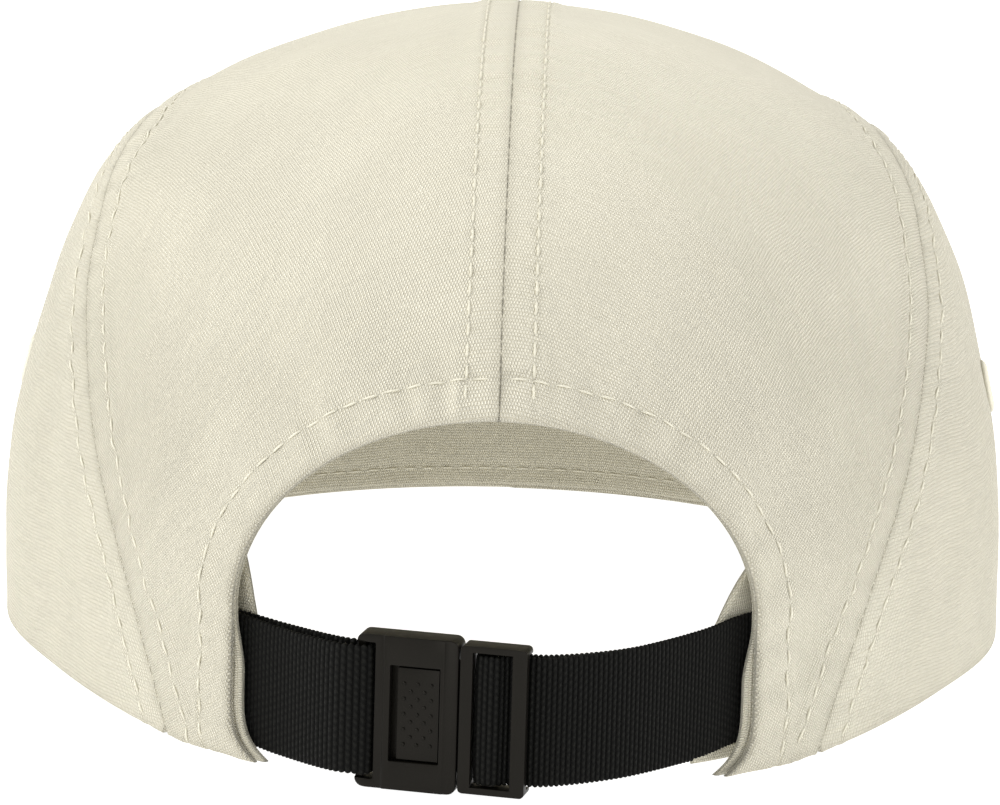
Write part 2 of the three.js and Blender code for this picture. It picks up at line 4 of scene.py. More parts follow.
import bmesh
import bpy
import numpy as np
from mathutils import Matrix, Vector


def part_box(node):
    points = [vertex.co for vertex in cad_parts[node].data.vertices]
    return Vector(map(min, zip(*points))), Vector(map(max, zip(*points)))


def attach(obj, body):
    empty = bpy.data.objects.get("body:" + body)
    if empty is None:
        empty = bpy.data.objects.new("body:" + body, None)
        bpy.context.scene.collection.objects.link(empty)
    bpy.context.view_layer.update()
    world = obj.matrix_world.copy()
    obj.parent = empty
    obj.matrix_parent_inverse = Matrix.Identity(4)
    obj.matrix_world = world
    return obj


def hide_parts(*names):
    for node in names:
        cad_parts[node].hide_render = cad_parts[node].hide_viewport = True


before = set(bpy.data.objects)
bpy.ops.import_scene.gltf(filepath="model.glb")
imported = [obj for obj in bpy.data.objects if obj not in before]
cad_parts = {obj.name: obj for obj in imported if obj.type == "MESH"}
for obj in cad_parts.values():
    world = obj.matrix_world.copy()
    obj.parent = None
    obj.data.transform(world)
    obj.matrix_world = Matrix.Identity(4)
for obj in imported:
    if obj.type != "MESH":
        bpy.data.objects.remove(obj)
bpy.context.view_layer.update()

MM = 0.001
TURN = 2 * math.pi

# Sizes in millimetres and angles in degrees, as in the part's source.
GAP = 0.3
WIDTH = 164.0
REAR_REACH = 103.8
FRONT_REACH = 100.2
HEIGHT = 101.8
WALL = 1.3
SIDE_RISE = 2.9
REST_ANGLE = 35.0
RIDGE = 2.1
HOLLOW = 1.45
REAR_SQUARENESS = 1.73
DOME = {"side": 1.89, "rear": 2.2, "front": 2.5}
UPRIGHT = {"side": 3.55, "rear": 2.5, "front": 3.0}
ARCH_WIDTH = 80.2
ARCH_HEIGHT = 55.3
ARCH_SIDE_HEIGHT = 24.0
ARCH_SQUARENESS = 1.9
ARCH_FOOT_TURN = 4.2
ARCH_FOOT_HEIGHT = 12.0
ARCH_FOOT_SHARPNESS = 4.5
ARCH_CURVE_SHARE = 0.64
FACING_THICKNESS = 1.0
FACING_WIDTH = 8.0
FACING_INSET = 0.5
FACING_STRIP = 1.3
BAND_THICKNESS = 1.4
BAND_HEIGHT = 32.0
BAND_LIFT = 1.0
BAND_ENDS = {"left": {"showing": 0.4, "slant": 3.4}, "right": {"showing": 5.2, "slant": 7.4}}
BAND_BLEND = 14.0
HEM_ANGLE = 118.0
TOP_SHARE = 0.4
PEAK_REACH = 68.0
PEAK_FLARE = 3.1
PEAK_THICKNESS = 2.6
PEAK_RISE = 6.0
PEAK_SQUARENESS = 2.4
PEAK_LIFT = 0.2
PEAK_SPAN = 0.99
WEB_WIDTH = 20.0
WEB_THICKNESS = 1.2
WEB_MIDDLE = 11.4
WEB_SEWN = 12.0
WEB_RISE = 2.4
SHOULDER_SEAM = [
    {"around": 128, "down": 0.455},
    {"around": 106, "down": 0.398},
    {"around": 86, "down": 0.412},
    {"around": 73, "down": 0.49},
    {"around": 66, "down": 0.6},
    {"around": 57, "down": 0.725},
    {"around": 48, "down": 0.852},
    {"around": 40.5, "down": 1},
]
SHOULDER_AT_ARCH = 0.47
ROWS_TO_ARCH = 14 / 26
SIDE_TIP = 0.012

# Sewing, in millimetres.
STITCH_PITCH = 3.5
STITCH_LENGTH = 3.4
THREAD_RADIUS = 0.19
SEAM_STITCH = 5.0
ARCH_STITCH = 6.5
HEM_STITCH = 3.2
PEAK_ROWS = 7
PEAK_ROW_PITCH = 8.0
PEAK_FIRST_ROW = 4.0

# The crown's axis stands this far along +Y from the middle of the cap's box.
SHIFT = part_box("front_panel")[0][1] / MM + FRONT_REACH

# Small sums


def mix(a, b, share):
    """a + (b - a) times share."""
    return a + (b - a) * share


def smooth(value, low, high):
    """Smooth step, 3t^2 - 2t^3, from 0 at low to 1 at high."""
    t = np.clip((value - low) / (high - low), 0, 1)
    return t * t * (3 - 2 * t)


def bell(value, centre, width):
    """exp(-((value - centre) / width)^2)."""
    return np.exp(-(((value - centre) / width) ** 2))


def unit(vectors):
    """Each vector divided by its length."""
    return vectors / np.maximum(np.linalg.norm(vectors, axis=-1, keepdims=True), 1e-9)


def ripple(points, wavelength, seed, waves=9):
    """Soft noise of about -1 to 1: the mean of sine waves of one length in seeded random directions."""
    random = np.random.default_rng(seed)
    directions = unit(random.normal(size=(waves, 3))) * TURN / wavelength
    lengths = random.uniform(0.75, 1.35, waves)
    phases = random.uniform(0, TURN, waves)
    return np.sin(points @ (directions * lengths[:, None]).T + phases).sum(axis=-1) / math.sqrt(waves)


# The crown's surface


def rise_share(down):
    """Height share of a point, the cosine of its share of the way down times a right angle."""
    return np.cos(np.clip(down, 0, 1) * math.pi / 2)


def down_at_height(z):
    """The inverse of rise_share, for a height in millimetres."""
    return np.arccos(np.clip(z / HEIGHT, 0, 1)) * 2 / math.pi


def section_power(values, around):
    """An exponent of the wall's section: rear or front figure, mixed to the side's by the squared sine."""
    sine = np.sin(np.radians(around)) ** 2
    end = np.where(np.cos(np.radians(around)) > 0, values["rear"], values["front"])
    return mix(end, values["side"], sine)


def plan_power(around):
    """Exponent of the hem's outline, from 2 at the sides and front to REAR_SQUARENESS behind."""
    return mix(2, REAR_SQUARENESS, smooth(np.cos(np.radians(around)), 0, 0.5))


def radius_share(around, rise):
    """(1 - rise^wall)^(1/dome), plus the bell curves of the seam ridge and the hollow below it."""
    relief = RIDGE * bell(rise, 0.78, 0.1) - HOLLOW * bell(rise, 0.5, 0.16)
    bare = np.maximum(1 - rise ** section_power(UPRIGHT, around), 0) ** (1 / section_power(DOME, around))
    return bare + np.sin(np.radians(around)) ** 2 * relief * 2 / WIDTH


def hem_height(around):
    """Height of the hem over the surface it rests on, a smooth step of the absolute sine."""
    flat = math.sin(math.radians(REST_ANGLE))
    return SIDE_RISE * smooth(np.abs(np.sin(np.radians(around))), flat, 1)


def outer_point(around, down):
    """Point of the bare crown at an angle from centre back and a share of the way down: a superellipse plan
    times the radius share, and a height mixed from hem to top by the rise."""
    rise = rise_share(down)
    share = radius_share(around, rise)
    power = 2 / plan_power(around)
    sine = np.sin(np.radians(around))
    cosine = np.cos(np.radians(around))
    reach = np.where(cosine > 0, REAR_REACH, FRONT_REACH)
    x = WIDTH / 2 * np.sign(sine) * np.abs(sine) ** power * share
    y = reach * np.sign(cosine) * np.abs(cosine) ** power * share
    z = hem_height(around) * (1 - rise) + HEIGHT * rise
    return np.stack(np.broadcast_arrays(x, y, z), axis=-1)


def on_map(around, down):
    """Flat map of the crown: the top is the origin and the hem is the unit circle."""
    angle = np.radians(around)
    return np.stack(np.broadcast_arrays(np.sin(angle) * down, np.cos(angle) * down), axis=-1)


def at_map(flat):
    """Point of the bare crown at a place on the flat map."""
    around = np.degrees(np.arctan2(flat[..., 0], flat[..., 1]))
    return outer_point(around, np.linalg.norm(flat, axis=-1))


def map_normal(flat):
    """Outward unit normal, the cross product of central differences along the flat map's two axes."""
    step = 0.004
    across = at_map(flat + [step, 0]) - at_map(flat - [step, 0])
    along = at_map(flat + [0, step]) - at_map(flat - [0, step])
    normal = unit(np.cross(along, across))
    inward = (normal * at_map(flat)).sum(axis=-1, keepdims=True) < 0
    return np.where(inward, -normal, normal)


def crown_point(around, down, depth=0.0):
    """Point of the crown at a depth under its outer surface."""
    flat = on_map(around, down)
    return at_map(flat) - map_normal(flat) * np.asarray(depth)[..., None]


def rear_place(x, z):
    """Angle and share of the way down of a rear point seen from behind, by repeated correction."""
    rise = z / HEIGHT
    around = np.full_like(x, 20.0)
    for _ in range(25):
        sine = np.abs(x) / (WIDTH / 2 * radius_share(around, rise))
        around = np.degrees(np.arcsin(np.minimum(1, sine) ** (plan_power(around) / 2)))
    return around * np.sign(x), down_at_height(z)


def arch_map(share, grow=0.0):
    """Map point of the arch from its top at 0 to its foot at 1: a superellipse quarter, then a straight side
    whose foot turns in. grow widens it all round."""
    share = np.asarray(share, dtype=float)
    half_width = ARCH_WIDTH / 2 + grow
    angle = np.clip(share / ARCH_CURVE_SHARE, 0, 1) * math.pi / 2
    power = 2 / ARCH_SQUARENESS
    straight = ARCH_SIDE_HEIGHT * (1 - share) / (1 - ARCH_CURVE_SHARE)
    curve = ARCH_SIDE_HEIGHT + (ARCH_HEIGHT + grow - ARCH_SIDE_HEIGHT) * np.abs(np.cos(angle)) ** power
    curved = share < ARCH_CURVE_SHARE
    x = np.where(curved, half_width * np.sin(angle) ** power, half_width)
    z = np.where(curved, curve, straight)
    foot = np.maximum(0, 1 - z / ARCH_FOOT_HEIGHT)
    return on_map(*rear_place(np.maximum(x - ARCH_FOOT_TURN * foot ** ARCH_FOOT_SHARPNESS, 1e-6), z))


def map_spline(points, samples=1500):
    """Catmull-Rom curve through map points, as a function of the share of its length."""
    ends = np.concatenate([points[:1], points, points[-1:]])
    share = np.linspace(0, len(points) - 1, samples)
    span = np.minimum(share.astype(int), len(points) - 2)
    t = (share - span)[:, None]
    p0, p1, p2, p3 = (ends[span + k] for k in range(4))
    a, b = (p2 - p0) / 2, (p3 - p1) / 2
    curve = (2 * p1 - 2 * p2 + a + b) * t ** 3 + (-3 * p1 + 3 * p2 - 2 * a - b) * t ** 2 + a * t + p1
    length = np.concatenate([[0], np.linalg.norm(np.diff(curve, axis=0), axis=1).cumsum()])
    length /= length[-1]
    return lambda at: np.stack([np.interp(at, length, curve[:, k]) for k in (0, 1)], axis=-1)


shoulder_map = map_spline(np.array([on_map(stop["around"], stop["down"]) for stop in SHOULDER_SEAM]))
CORNER = SHOULDER_SEAM[0]
SEAM_FOOT = SHOULDER_SEAM[-1]["around"]


def front_seam_map(share):
    """Seam between front and side panels, straight in angle and share of the way down."""
    return on_map(mix(CORNER["around"], HEM_ANGLE, share), mix(CORNER["down"], 1, share))


def top_seam_map(share):
    """Seam over the front panel from the centre to the corner, bowed by the square of the share."""
    corner = on_map(CORNER["around"], CORNER["down"])
    return np.stack([corner[0] * share, mix(-TOP_SHARE, corner[1], share ** 2)], axis=-1)


def hem_map(start, end):
    """The hem between two angles, as a function of the share of the way."""
    return lambda share: on_map(mix(start, end, share), 1.0)


def blend_edges(top, bottom, near, far):
    """Patch between four map edges: the blend of each pair less the blend of the corners."""
    corners = [top(np.array(0.0)), top(np.array(1.0)), bottom(np.array(0.0)), bottom(np.array(1.0))]

    def place(u, v):
        u1, v1 = u[..., None], v[..., None]
        across = mix(top(u), bottom(u), v1)
        along = mix(near(v), far(v), u1)
        return across + along - mix(mix(corners[0], corners[1], u1), mix(corners[2], corners[3], u1), v1)

    return place


ARCH_TOP = float(arch_map(0.0)[1])
ARCH_EDGE = float(np.degrees(np.arctan2(*arch_map(ARCH_CURVE_SHARE))))


def top_near_map(v):
    """Near edge of a top panel: the centre seam down to the arch's top, then the arch to its foot."""
    seam = np.stack([np.zeros_like(v), mix(-TOP_SHARE, ARCH_TOP, v / ROWS_TO_ARCH)], axis=-1)
    arch = arch_map(np.clip((v - ROWS_TO_ARCH) / (1 - ROWS_TO_ARCH), 0, 1))
    return np.where((v <= ROWS_TO_ARCH)[..., None], seam, arch)


def top_far_map(v):
    """Far edge of a top panel: the shoulder seam, which shares its rows with the near edge."""
    above = SHOULDER_AT_ARCH * v / ROWS_TO_ARCH
    below = mix(SHOULDER_AT_ARCH, 1, (v - ROWS_TO_ARCH) / (1 - ROWS_TO_ARCH))
    return shoulder_map(np.where(v <= ROWS_TO_ARCH, above, below))


ARCH_FOOT = float(np.degrees(np.arctan2(*arch_map(1.0))))
top_patch = blend_edges(top_seam_map, hem_map(ARCH_FOOT, SEAM_FOOT), top_near_map, top_far_map)


def side_patch(u, v):
    """Side panel: hangs from the shoulder seam straight down to the hem, in angle and share."""
    share = mix(SIDE_TIP, 1, u)
    upper = shoulder_map(1 - share)
    around = np.degrees(np.arctan2(upper[..., 0], upper[..., 1]))
    lower = mix(SEAM_FOOT, HEM_ANGLE, share)
    return on_map(mix(around, lower, v), mix(np.linalg.norm(upper, axis=-1), 1, v))


def mirrored(flat):
    """A map point on the other side."""
    return flat * [-1, 1]


def front_top_map(u):
    """Upper edge of the front panel from right corner to left corner."""
    left = top_seam_map(np.clip(2 * u - 1, 0, 1))
    right = mirrored(top_seam_map(np.clip(1 - 2 * u, 0, 1)))
    return np.where((u < 0.5)[..., None], right, left)


front_patch = blend_edges(
    front_top_map, hem_map(360 - HEM_ANGLE, HEM_ANGLE), lambda v: mirrored(front_seam_map(v)), front_seam_map)

# Meshes


def add_object(name, data):
    """Links a new object with that mesh, camera or light to the scene."""
    made = bpy.data.objects.new(name, data)
    bpy.context.scene.collection.objects.link(made)
    return made


def add_mesh(name, points, faces, uv=None, values=None):
    """A mesh object from points in millimetres and faces, with an optional UV map in metres and with
    point values."""
    points = np.asarray(points, dtype=float).reshape(-1, 3)
    moved = (points + [0, SHIFT, 0]) * MM
    mesh = bpy.data.meshes.new(name)
    mesh.from_pydata(moved.tolist(), [], faces)
    if uv is not None:
        corners = np.empty(len(mesh.loops), dtype=np.int32)
        mesh.loops.foreach_get("vertex_index", corners)
        layer = mesh.uv_layers.new(name="Cloth")
        layer.data.foreach_set("uv", (np.asarray(uv).reshape(-1, 2)[corners] * MM).ravel().astype(np.float32))
    for key, value in (values or {}).items():
        attribute = mesh.attributes.new(key, "FLOAT", "POINT")
        attribute.data.foreach_set("value", np.asarray(value, dtype=np.float32).ravel())
    mesh.shade_smooth()
    return add_object(name, mesh)


def quads(index):
    """Faces between neighbours of a grid of point numbers."""
    corners = (index[:-1, :-1], index[:-1, 1:], index[1:, 1:], index[1:, :-1])
    return np.stack(corners, axis=-1).reshape(-1, 4)


def volume(points, faces):
    """Signed volume of a closed mesh of four-cornered faces, as a sum over its triangles."""
    a, b, c, d = (points[faces[:, k]] for k in range(4))
    return ((a * np.cross(b, c)).sum() + (a * np.cross(c, d)).sum()) / 6


def shell_faces(rows, columns):
    """Faces of a closed shell between an outer and an inner grid, rims included."""
    outer = np.arange(rows * columns).reshape(rows, columns)
    inner = outer + rows * columns
    rims = [
        (outer[0], inner[0]),
        (inner[-1], outer[-1]),
        (inner[:, 0], outer[:, 0]),
        (outer[:, -1], inner[:, -1]),
    ]
    walls = [quads(np.stack(pair)[::-1]) for pair in rims]
    return np.concatenate([quads(outer), quads(inner)[:, ::-1], *walls])


# The lining's cloth coordinates run on by this much, so that the weave goes on over the rims.
RIM_CLOTH = 0.9


def add_shell(name, outer, inner, uv=None, values=None):
    """A closed shell between two grids of points, turned to face out."""
    rows, columns = outer.shape[:2]
    points = np.concatenate([outer.reshape(-1, 3), inner.reshape(-1, 3)])
    faces = shell_faces(rows, columns)
    if volume(points, faces) < 0:
        faces = faces[:, ::-1]
    both = None if uv is None else np.concatenate([uv.reshape(-1, 2), uv.reshape(-1, 2) + RIM_CLOTH])
    doubled = {key: np.concatenate([value.ravel()] * 2) for key, value in (values or {}).items()}
    return add_mesh(name, points, faces.tolist(), both, doubled)


def finish_piece(piece, finish, slot, *nodes):
    """Gives a piece its finish, lets it ride on the cap and stand for its CAD nodes. The slot is not used."""
    piece.data.materials.clear()
    piece.data.materials.append(finish)
    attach(piece, "root")
    if nodes:
        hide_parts(*nodes)
    return piece


# Distances of grid lines from an edge, close together where the edge rolls over and the stitching lies.
EDGE_STEPS = np.array([
    0, 0.05, 0.17, 0.36, 0.62, 0.95, 1.4, 2.0, 2.7, 3.4, 4.1, 4.6, 5.0, 5.4, 5.9, 6.5, 7.2, 8.2])
EDGE_REACH = 9.5
EDGE_SHARE = 0.4


def spread(length, middle):
    """Shares from 0 to 1 along lengths: the edge steps from each end, and even steps between."""
    length = np.asarray(length, dtype=float)[..., None]
    squeeze = np.minimum(1, length * EDGE_SHARE / EDGE_REACH)
    near = EDGE_STEPS * squeeze / length
    reach = EDGE_REACH * squeeze / length
    between = mix(reach, 1 - reach, np.linspace(0, 1, middle))
    return np.concatenate([near, between, 1 - near[..., ::-1]], axis=-1)


def line_length(points):
    """Length of each line of points along the last but one axis."""
    return np.linalg.norm(np.diff(points, axis=-2), axis=-1).sum(axis=-1)


def places_along(line):
    """Distance of each point of a line from its start, along it."""
    return np.concatenate([[0], np.linalg.norm(np.diff(line, axis=0), axis=1).cumsum()])


def points_at(at, along, line):
    """Points of a line at places along it, by straight steps between its own points."""
    return np.stack([np.interp(at, along, line[:, k]) for k in range(3)], axis=-1)


def patch_grid(patch, columns, rows):
    """Map points of a patch, with lines graded towards all four edges."""
    coarse = np.linspace(0, 1, 25)
    u, v = np.meshgrid(coarse, coarse)
    lattice = at_map(patch(u, v))
    widths = line_length(lattice)
    lengths = line_length(lattice.transpose(1, 0, 2))
    base_u = spread(widths.mean(), columns)
    base_v = spread(lengths.mean(), rows)
    u = spread(np.interp(base_v, coarse, widths), columns)
    v = spread(np.interp(base_u, coarse, lengths), rows).T
    return patch(u, v)


# How many points are set against a path at a time, to keep the tables small.
BATCH = 4000


def near_path(points, path, side=1):
    """Distance of each point from a path and its place along it: across and along the nearest tangent."""
    path = path * [side, 1, 1]
    tangent = unit(np.gradient(path, axis=0))
    along = places_along(path)
    flat = points.reshape(-1, 3)
    distance = np.empty(len(flat))
    place = np.empty(len(flat))
    for start in range(0, len(flat), BATCH):
        part = flat[start:start + BATCH]
        squares = (part ** 2).sum(1)[:, None] - 2 * part @ path.T + (path ** 2).sum(1)
        nearest = squares.argmin(axis=1)
        away = part - path[nearest]
        forward = (away * tangent[nearest]).sum(1)
        across = np.sqrt(np.maximum((away ** 2).sum(1) - forward ** 2, 0))
        at_end = (nearest == 0) & (forward < 0) | (nearest == len(path) - 1) & (forward > 0)
        distance[start:start + BATCH] = np.where(at_end, np.linalg.norm(away, axis=1), across)
        place[start:start + BATCH] = along[nearest] + forward
    return distance.reshape(points.shape[:-1]), place.reshape(points.shape[:-1])


def path_of(map_function, count=320):
    """Points of the bare crown along a map line."""
    return at_map(map_function(np.linspace(0, 1, count)))


PATHS = {
    "centre": path_of(lambda share: np.stack([share * 0, mix(-TOP_SHARE, ARCH_TOP, share)], axis=-1)),
    "shoulder": path_of(shoulder_map),
    "front": path_of(front_seam_map),
    "top": path_of(top_seam_map),
    "arch": path_of(arch_map),
    "hem": path_of(hem_map(0, 180)),
}


def needle_pull(place):
    """1 where the needle goes into the cloth and 0 in the middle of a stitch: half a cosine wave."""
    return 0.5 + 0.5 * np.cos(TURN * place / STITCH_PITCH)


def rolled(distance, radius):
    """How far a rolled edge falls away: a quarter circle of that radius."""
    inside = np.clip(radius - distance, 0, radius)
    return radius - np.sqrt(radius ** 2 - inside ** 2)


LAYER_HEIGHT = 0.34
GROOVE_DEPTH, NEEDLE_DEPTH, GROOVE_WIDTH = 0.2, 0.14, 0.5
PUCKER_HEIGHT = 0.1


def sewn_relief(distance, place, row, seed):
    """Height of the cloth beside a sewn edge: the turned-in layer up to just past the stitch row, the groove
    of the row, deeper where the needle goes in, and puckers that fade away from the row."""
    layer = LAYER_HEIGHT * (1 - smooth(distance, row + 0.7, row + 2.6))
    groove = -(GROOVE_DEPTH + NEEDLE_DEPTH * needle_pull(place)) * bell(distance, row, GROOVE_WIDTH)
    random = np.random.default_rng(seed)
    waves = sum(
        np.sin(place * TURN / length + phase)
        for length, phase in zip(random.uniform(3.6, 9.0, 5), random.uniform(0, TURN, 5)))
    fade = bell(distance, row * 0.75, row * 0.8) * smooth(distance, 0, 0.8)
    return layer + groove + PUCKER_HEIGHT * waves * fade


def cross_row(points, normals, distance, offset):
    """Where each grid row first reaches a distance from an edge: the surface points and normals there."""
    beyond = distance > offset
    hit = beyond.any(axis=1) & ~beyond[:, 0]
    rows = np.nonzero(hit)[0]
    column = beyond[rows].argmax(axis=1)
    low, high = distance[rows, column - 1], distance[rows, column]
    share = ((offset - low) / (high - low))[:, None]
    point = mix(points[rows, column - 1], points[rows, column], share)
    return point, unit(mix(normals[rows, column - 1], normals[rows, column], share))


# How dark the painted shade in the joint between two panels shows, by seam, and how wide.
SEAM_SHADE = {"centre": 0.75, "shoulder": 0.3, "front": 0.5, "top": 0.5}
JOINT_WIDTH = 0.15
stitch_lines = {"crown": [], "arch": [], "peak": [], "band": []}
# A stitch row that crosses fewer grid lines than this is left out.
SHORTEST_ROW = 9


def cloth_panel(name, patch, side, columns, rows, edges, seed):
    """One panel of the crown: the bare surface, soft dents, sewn relief and rolled edges on every side.
    edges lists (path, stitch row or None, roll radius, group of its stitches, grid axis that meets it)."""
    flat = patch_grid(patch, columns, rows)
    bare = at_map(flat)
    normal = map_normal(flat)
    if side < 0:
        bare = bare * [-1, 1, 1]
        normal = normal * [-1, 1, 1]
    dents = 0.34 * ripple(bare, 46, seed) + 0.1 * ripple(bare, 17, seed + 1)
    calm = np.ones(bare.shape[:-1])
    height = np.zeros(bare.shape[:-1])
    fall = np.zeros(bare.shape[:-1])
    seam = np.zeros(bare.shape[:-1])
    joint_shade = np.zeros(bare.shape[:-1])
    rows_to_sew = []
    for number, (path, row, radius, group, axis) in enumerate(edges):
        distance, place = near_path(bare, PATHS[path], side)
        if path in ("shoulder", "front", "top") and name == "front_cloth":
            other, other_place = near_path(bare, PATHS[path], -side)
            place = np.where(other < distance, other_place, place)
            distance = np.minimum(distance, other)
        calm *= smooth(distance, 0, 9)
        fall = np.maximum(fall, rolled(distance, radius))
        # The seam value is painted shade within about a millimetre of each edge, for the finish to darken.
        seam = np.maximum(seam, bell(distance, 0, 1.1))
        # Painted shade in the joint between two panels, darkened in dashes by the finish.
        if path in SEAM_SHADE:
            joint_shade = np.maximum(joint_shade, SEAM_SHADE[path] * bell(distance, 0, JOINT_WIDTH))
        if path == "arch":
            dents = dents + arch_folds(distance, place)
        if row:
            height = np.maximum(height, 0) + sewn_relief(distance, place, row, seed + 10 * number)
            rows_to_sew.append((distance, row, group, axis))
    surface = bare + normal * (height + dents * calm - fall)[..., None]
    lining = bare - normal * (WALL - fall * 0.9)[..., None]
    for distance, row, group, axis in rows_to_sew:
        turned = (1, 0, 2) if axis else (0, 1, 2)
        field = distance.T if axis else distance
        for reverse in (False, True):
            step = -1 if reverse else 1
            lines = surface.transpose(turned)[:, ::step]
            slopes = normal.transpose(turned)[:, ::step]
            point, slope = cross_row(lines, slopes, field[:, ::step], row)
            if len(point) >= SHORTEST_ROW:
                stitch_lines[group].append((point, slope))
    uv = cloth_uv(name, bare)
    return add_shell(name, surface, lining, uv, {"seam": seam, "joint_shade": joint_shade})


def arch_folds(distance, place):
    """Soft folds that run up from the arch's stitching and fade: sine waves of the place along the arch."""
    waves = 0.34 * np.sin(place * TURN / 17 + 0.6) + 0.3 * np.sin(place * TURN / 27 + 2.1)
    return waves * smooth(distance, 3, 11) * (1 - smooth(distance, 14, 34)) * 0.9


# How steeply the rows of the weave fall in the end, and over what distance they turn to it.
ROW_FALL, ROW_BEND = 0.62, 11.0


def cloth_uv(name, points):
    """Cloth coordinates in millimetres. On the top panels they run over the crown from front to back and
    away from the middle plane, and the rows fall away from it ever more steeply, up to ROW_FALL. On the
    others they run round the crown and down it."""
    x, y, z = points[..., 0], points[..., 1], points[..., 2]
    radius = REAR_REACH
    if name.startswith("top"):
        across = radius * np.arctan2(x, np.hypot(y, z))
        out = np.abs(across)
        fall = ROW_FALL * (out - ROW_BEND * (1 - np.exp(-out / ROW_BEND)))
        return np.stack([across, radius * np.arctan2(y, z) - fall], axis=-1)
    around = np.arctan2(x, y) if name.startswith("side") else np.arctan2(x, -y)
    return np.stack([radius * 0.9 * around, z], axis=-1)


CENTRE_ROLL, SHOULDER_ROLL, FRONT_ROLL, OPEN_ROLL = 0.22, 0.26, 0.6, 0.62


def add_panels(finish):
    """The five panels. A panel's rows meet its near and far edges, and its columns its top edge."""
    hem = ("hem", None, OPEN_ROLL, None, 1)
    over_front = ("top", SEAM_STITCH, FRONT_ROLL, "crown", 1)
    beside_front = ("front", SEAM_STITCH, FRONT_ROLL, "crown", 0)
    top_edges = [
        ("centre", SEAM_STITCH, CENTRE_ROLL, "crown", 0),
        ("shoulder", SEAM_STITCH, SHOULDER_ROLL, "crown", 0),
        over_front,
        ("arch", ARCH_STITCH, OPEN_ROLL, "arch", 0),
        hem,
    ]
    side_edges = [("shoulder", SEAM_STITCH, SHOULDER_ROLL, "crown", 1), beside_front, hem]
    front_edges = [beside_front, over_front, hem]
    for side, word in ((1, "left"), (-1, "right")):
        top = cloth_panel("top_cloth_" + word, top_patch, side, 44, 300, top_edges, 40 + side)
        finish_piece(top, finish, "canvas", "top_panel_" + word)
        flank = cloth_panel("side_cloth_" + word, side_patch, side, 110, 90, side_edges, 60 + side)
        finish_piece(flank, finish, "canvas", "side_panel_" + word)
    front = cloth_panel("front_cloth", front_patch, 1, 120, 70, front_edges, 80)
    finish_piece(front, finish, "canvas", "front_panel")


# Inside trim and peak

FACING_DEPTH = WALL + GAP
WEB_PITCH = WEB_THICKNESS + GAP
WEB_TOP = WEB_MIDDLE + WEB_WIDTH / 2
WEB_DEPTH = FACING_DEPTH + FACING_THICKNESS + GAP + WEB_THICKNESS / 2


TAPE_STEPS = np.array([0, 0.06, 0.2, 0.42, 0.75, 1.2])
TAPE_REACH = 1.8
FACING_ROLL, BAND_ROLL = 0.44, 0.6
# Shares of the arch's line between which the strip beside the opening begins.
STRIP_START, STRIP_WHOLE = 0.66, 0.8


def tape_edges(length, middle):
    """Distances across a tape, close together at its two rolled edges."""
    between = np.linspace(TAPE_REACH, length - TAPE_REACH, middle)
    return np.concatenate([TAPE_STEPS, between, (length - TAPE_STEPS)[::-1]])


def add_facing(finish):
    """The tape inside the arch: it follows the arch's outline, just outside it round the top, and shows as a
    narrow strip inside it at the two sides."""
    share = np.linspace(-1, 1, 420)[:, None]
    width = FACING_WIDTH - FACING_INSET
    across = tape_edges(width, 14)[None, :]
    share, across = np.broadcast_arrays(share, across)
    line = np.abs(share[:, 0])
    strip = FACING_STRIP * smooth(line, STRIP_START, STRIP_WHOLE) * (1 - across[0, :, None] / width)
    wide = np.stack([arch_map(line, each) for each in across[0, :, None] + FACING_INSET - strip], axis=1)
    flat = wide * np.stack([np.where(share < 0, -1.0, 1.0), np.ones_like(share)], axis=-1)
    bare, normal = at_map(flat), map_normal(flat)
    edge = np.minimum(across, width - across)
    fall = rolled(edge, FACING_ROLL)
    wave = 0.07 * ripple(bare, 9, 5) * smooth(edge, 0, 1)
    outer = bare - normal * (FACING_DEPTH - 0.25 + fall + wave)[..., None]
    inner = bare - normal * (FACING_DEPTH + FACING_THICKNESS - fall * 0.95 + wave)[..., None]
    uv = np.stack(np.broadcast_arrays(places_along(bare[:, 0])[:, None], across), axis=-1)
    # Its seam value is painted shade along the tape's rolled edges.
    facing = add_shell("arch_facing_tape", outer, inner, uv, {"seam": bell(edge, 0, 0.5)})
    finish_piece(facing, finish, "trim", "opening_facing")


def band_point(around, height, depth):
    """The sweatband lies against the wall, and stands upright and further in near its two ends."""
    down = down_at_height(height)
    from_end = np.where(around < 180, around, 360 - around)
    layers = np.where(around < 180, 2, 1)
    clear = ARCH_EDGE + WEB_SEWN + 4
    room = 1 - smooth(from_end, clear, clear + BAND_BLEND)
    inward = room * (WEB_DEPTH + (layers - 0.5) * WEB_PITCH + GAP - FACING_DEPTH)
    total = FACING_DEPTH + inward + depth
    point = crown_point(around, down, total)
    upright = crown_point(around, np.minimum(down, down_at_height(WEB_TOP + WEB_RISE)), total)
    point[..., :2] = mix(point[..., :2], upright[..., :2], room[..., None])
    return point


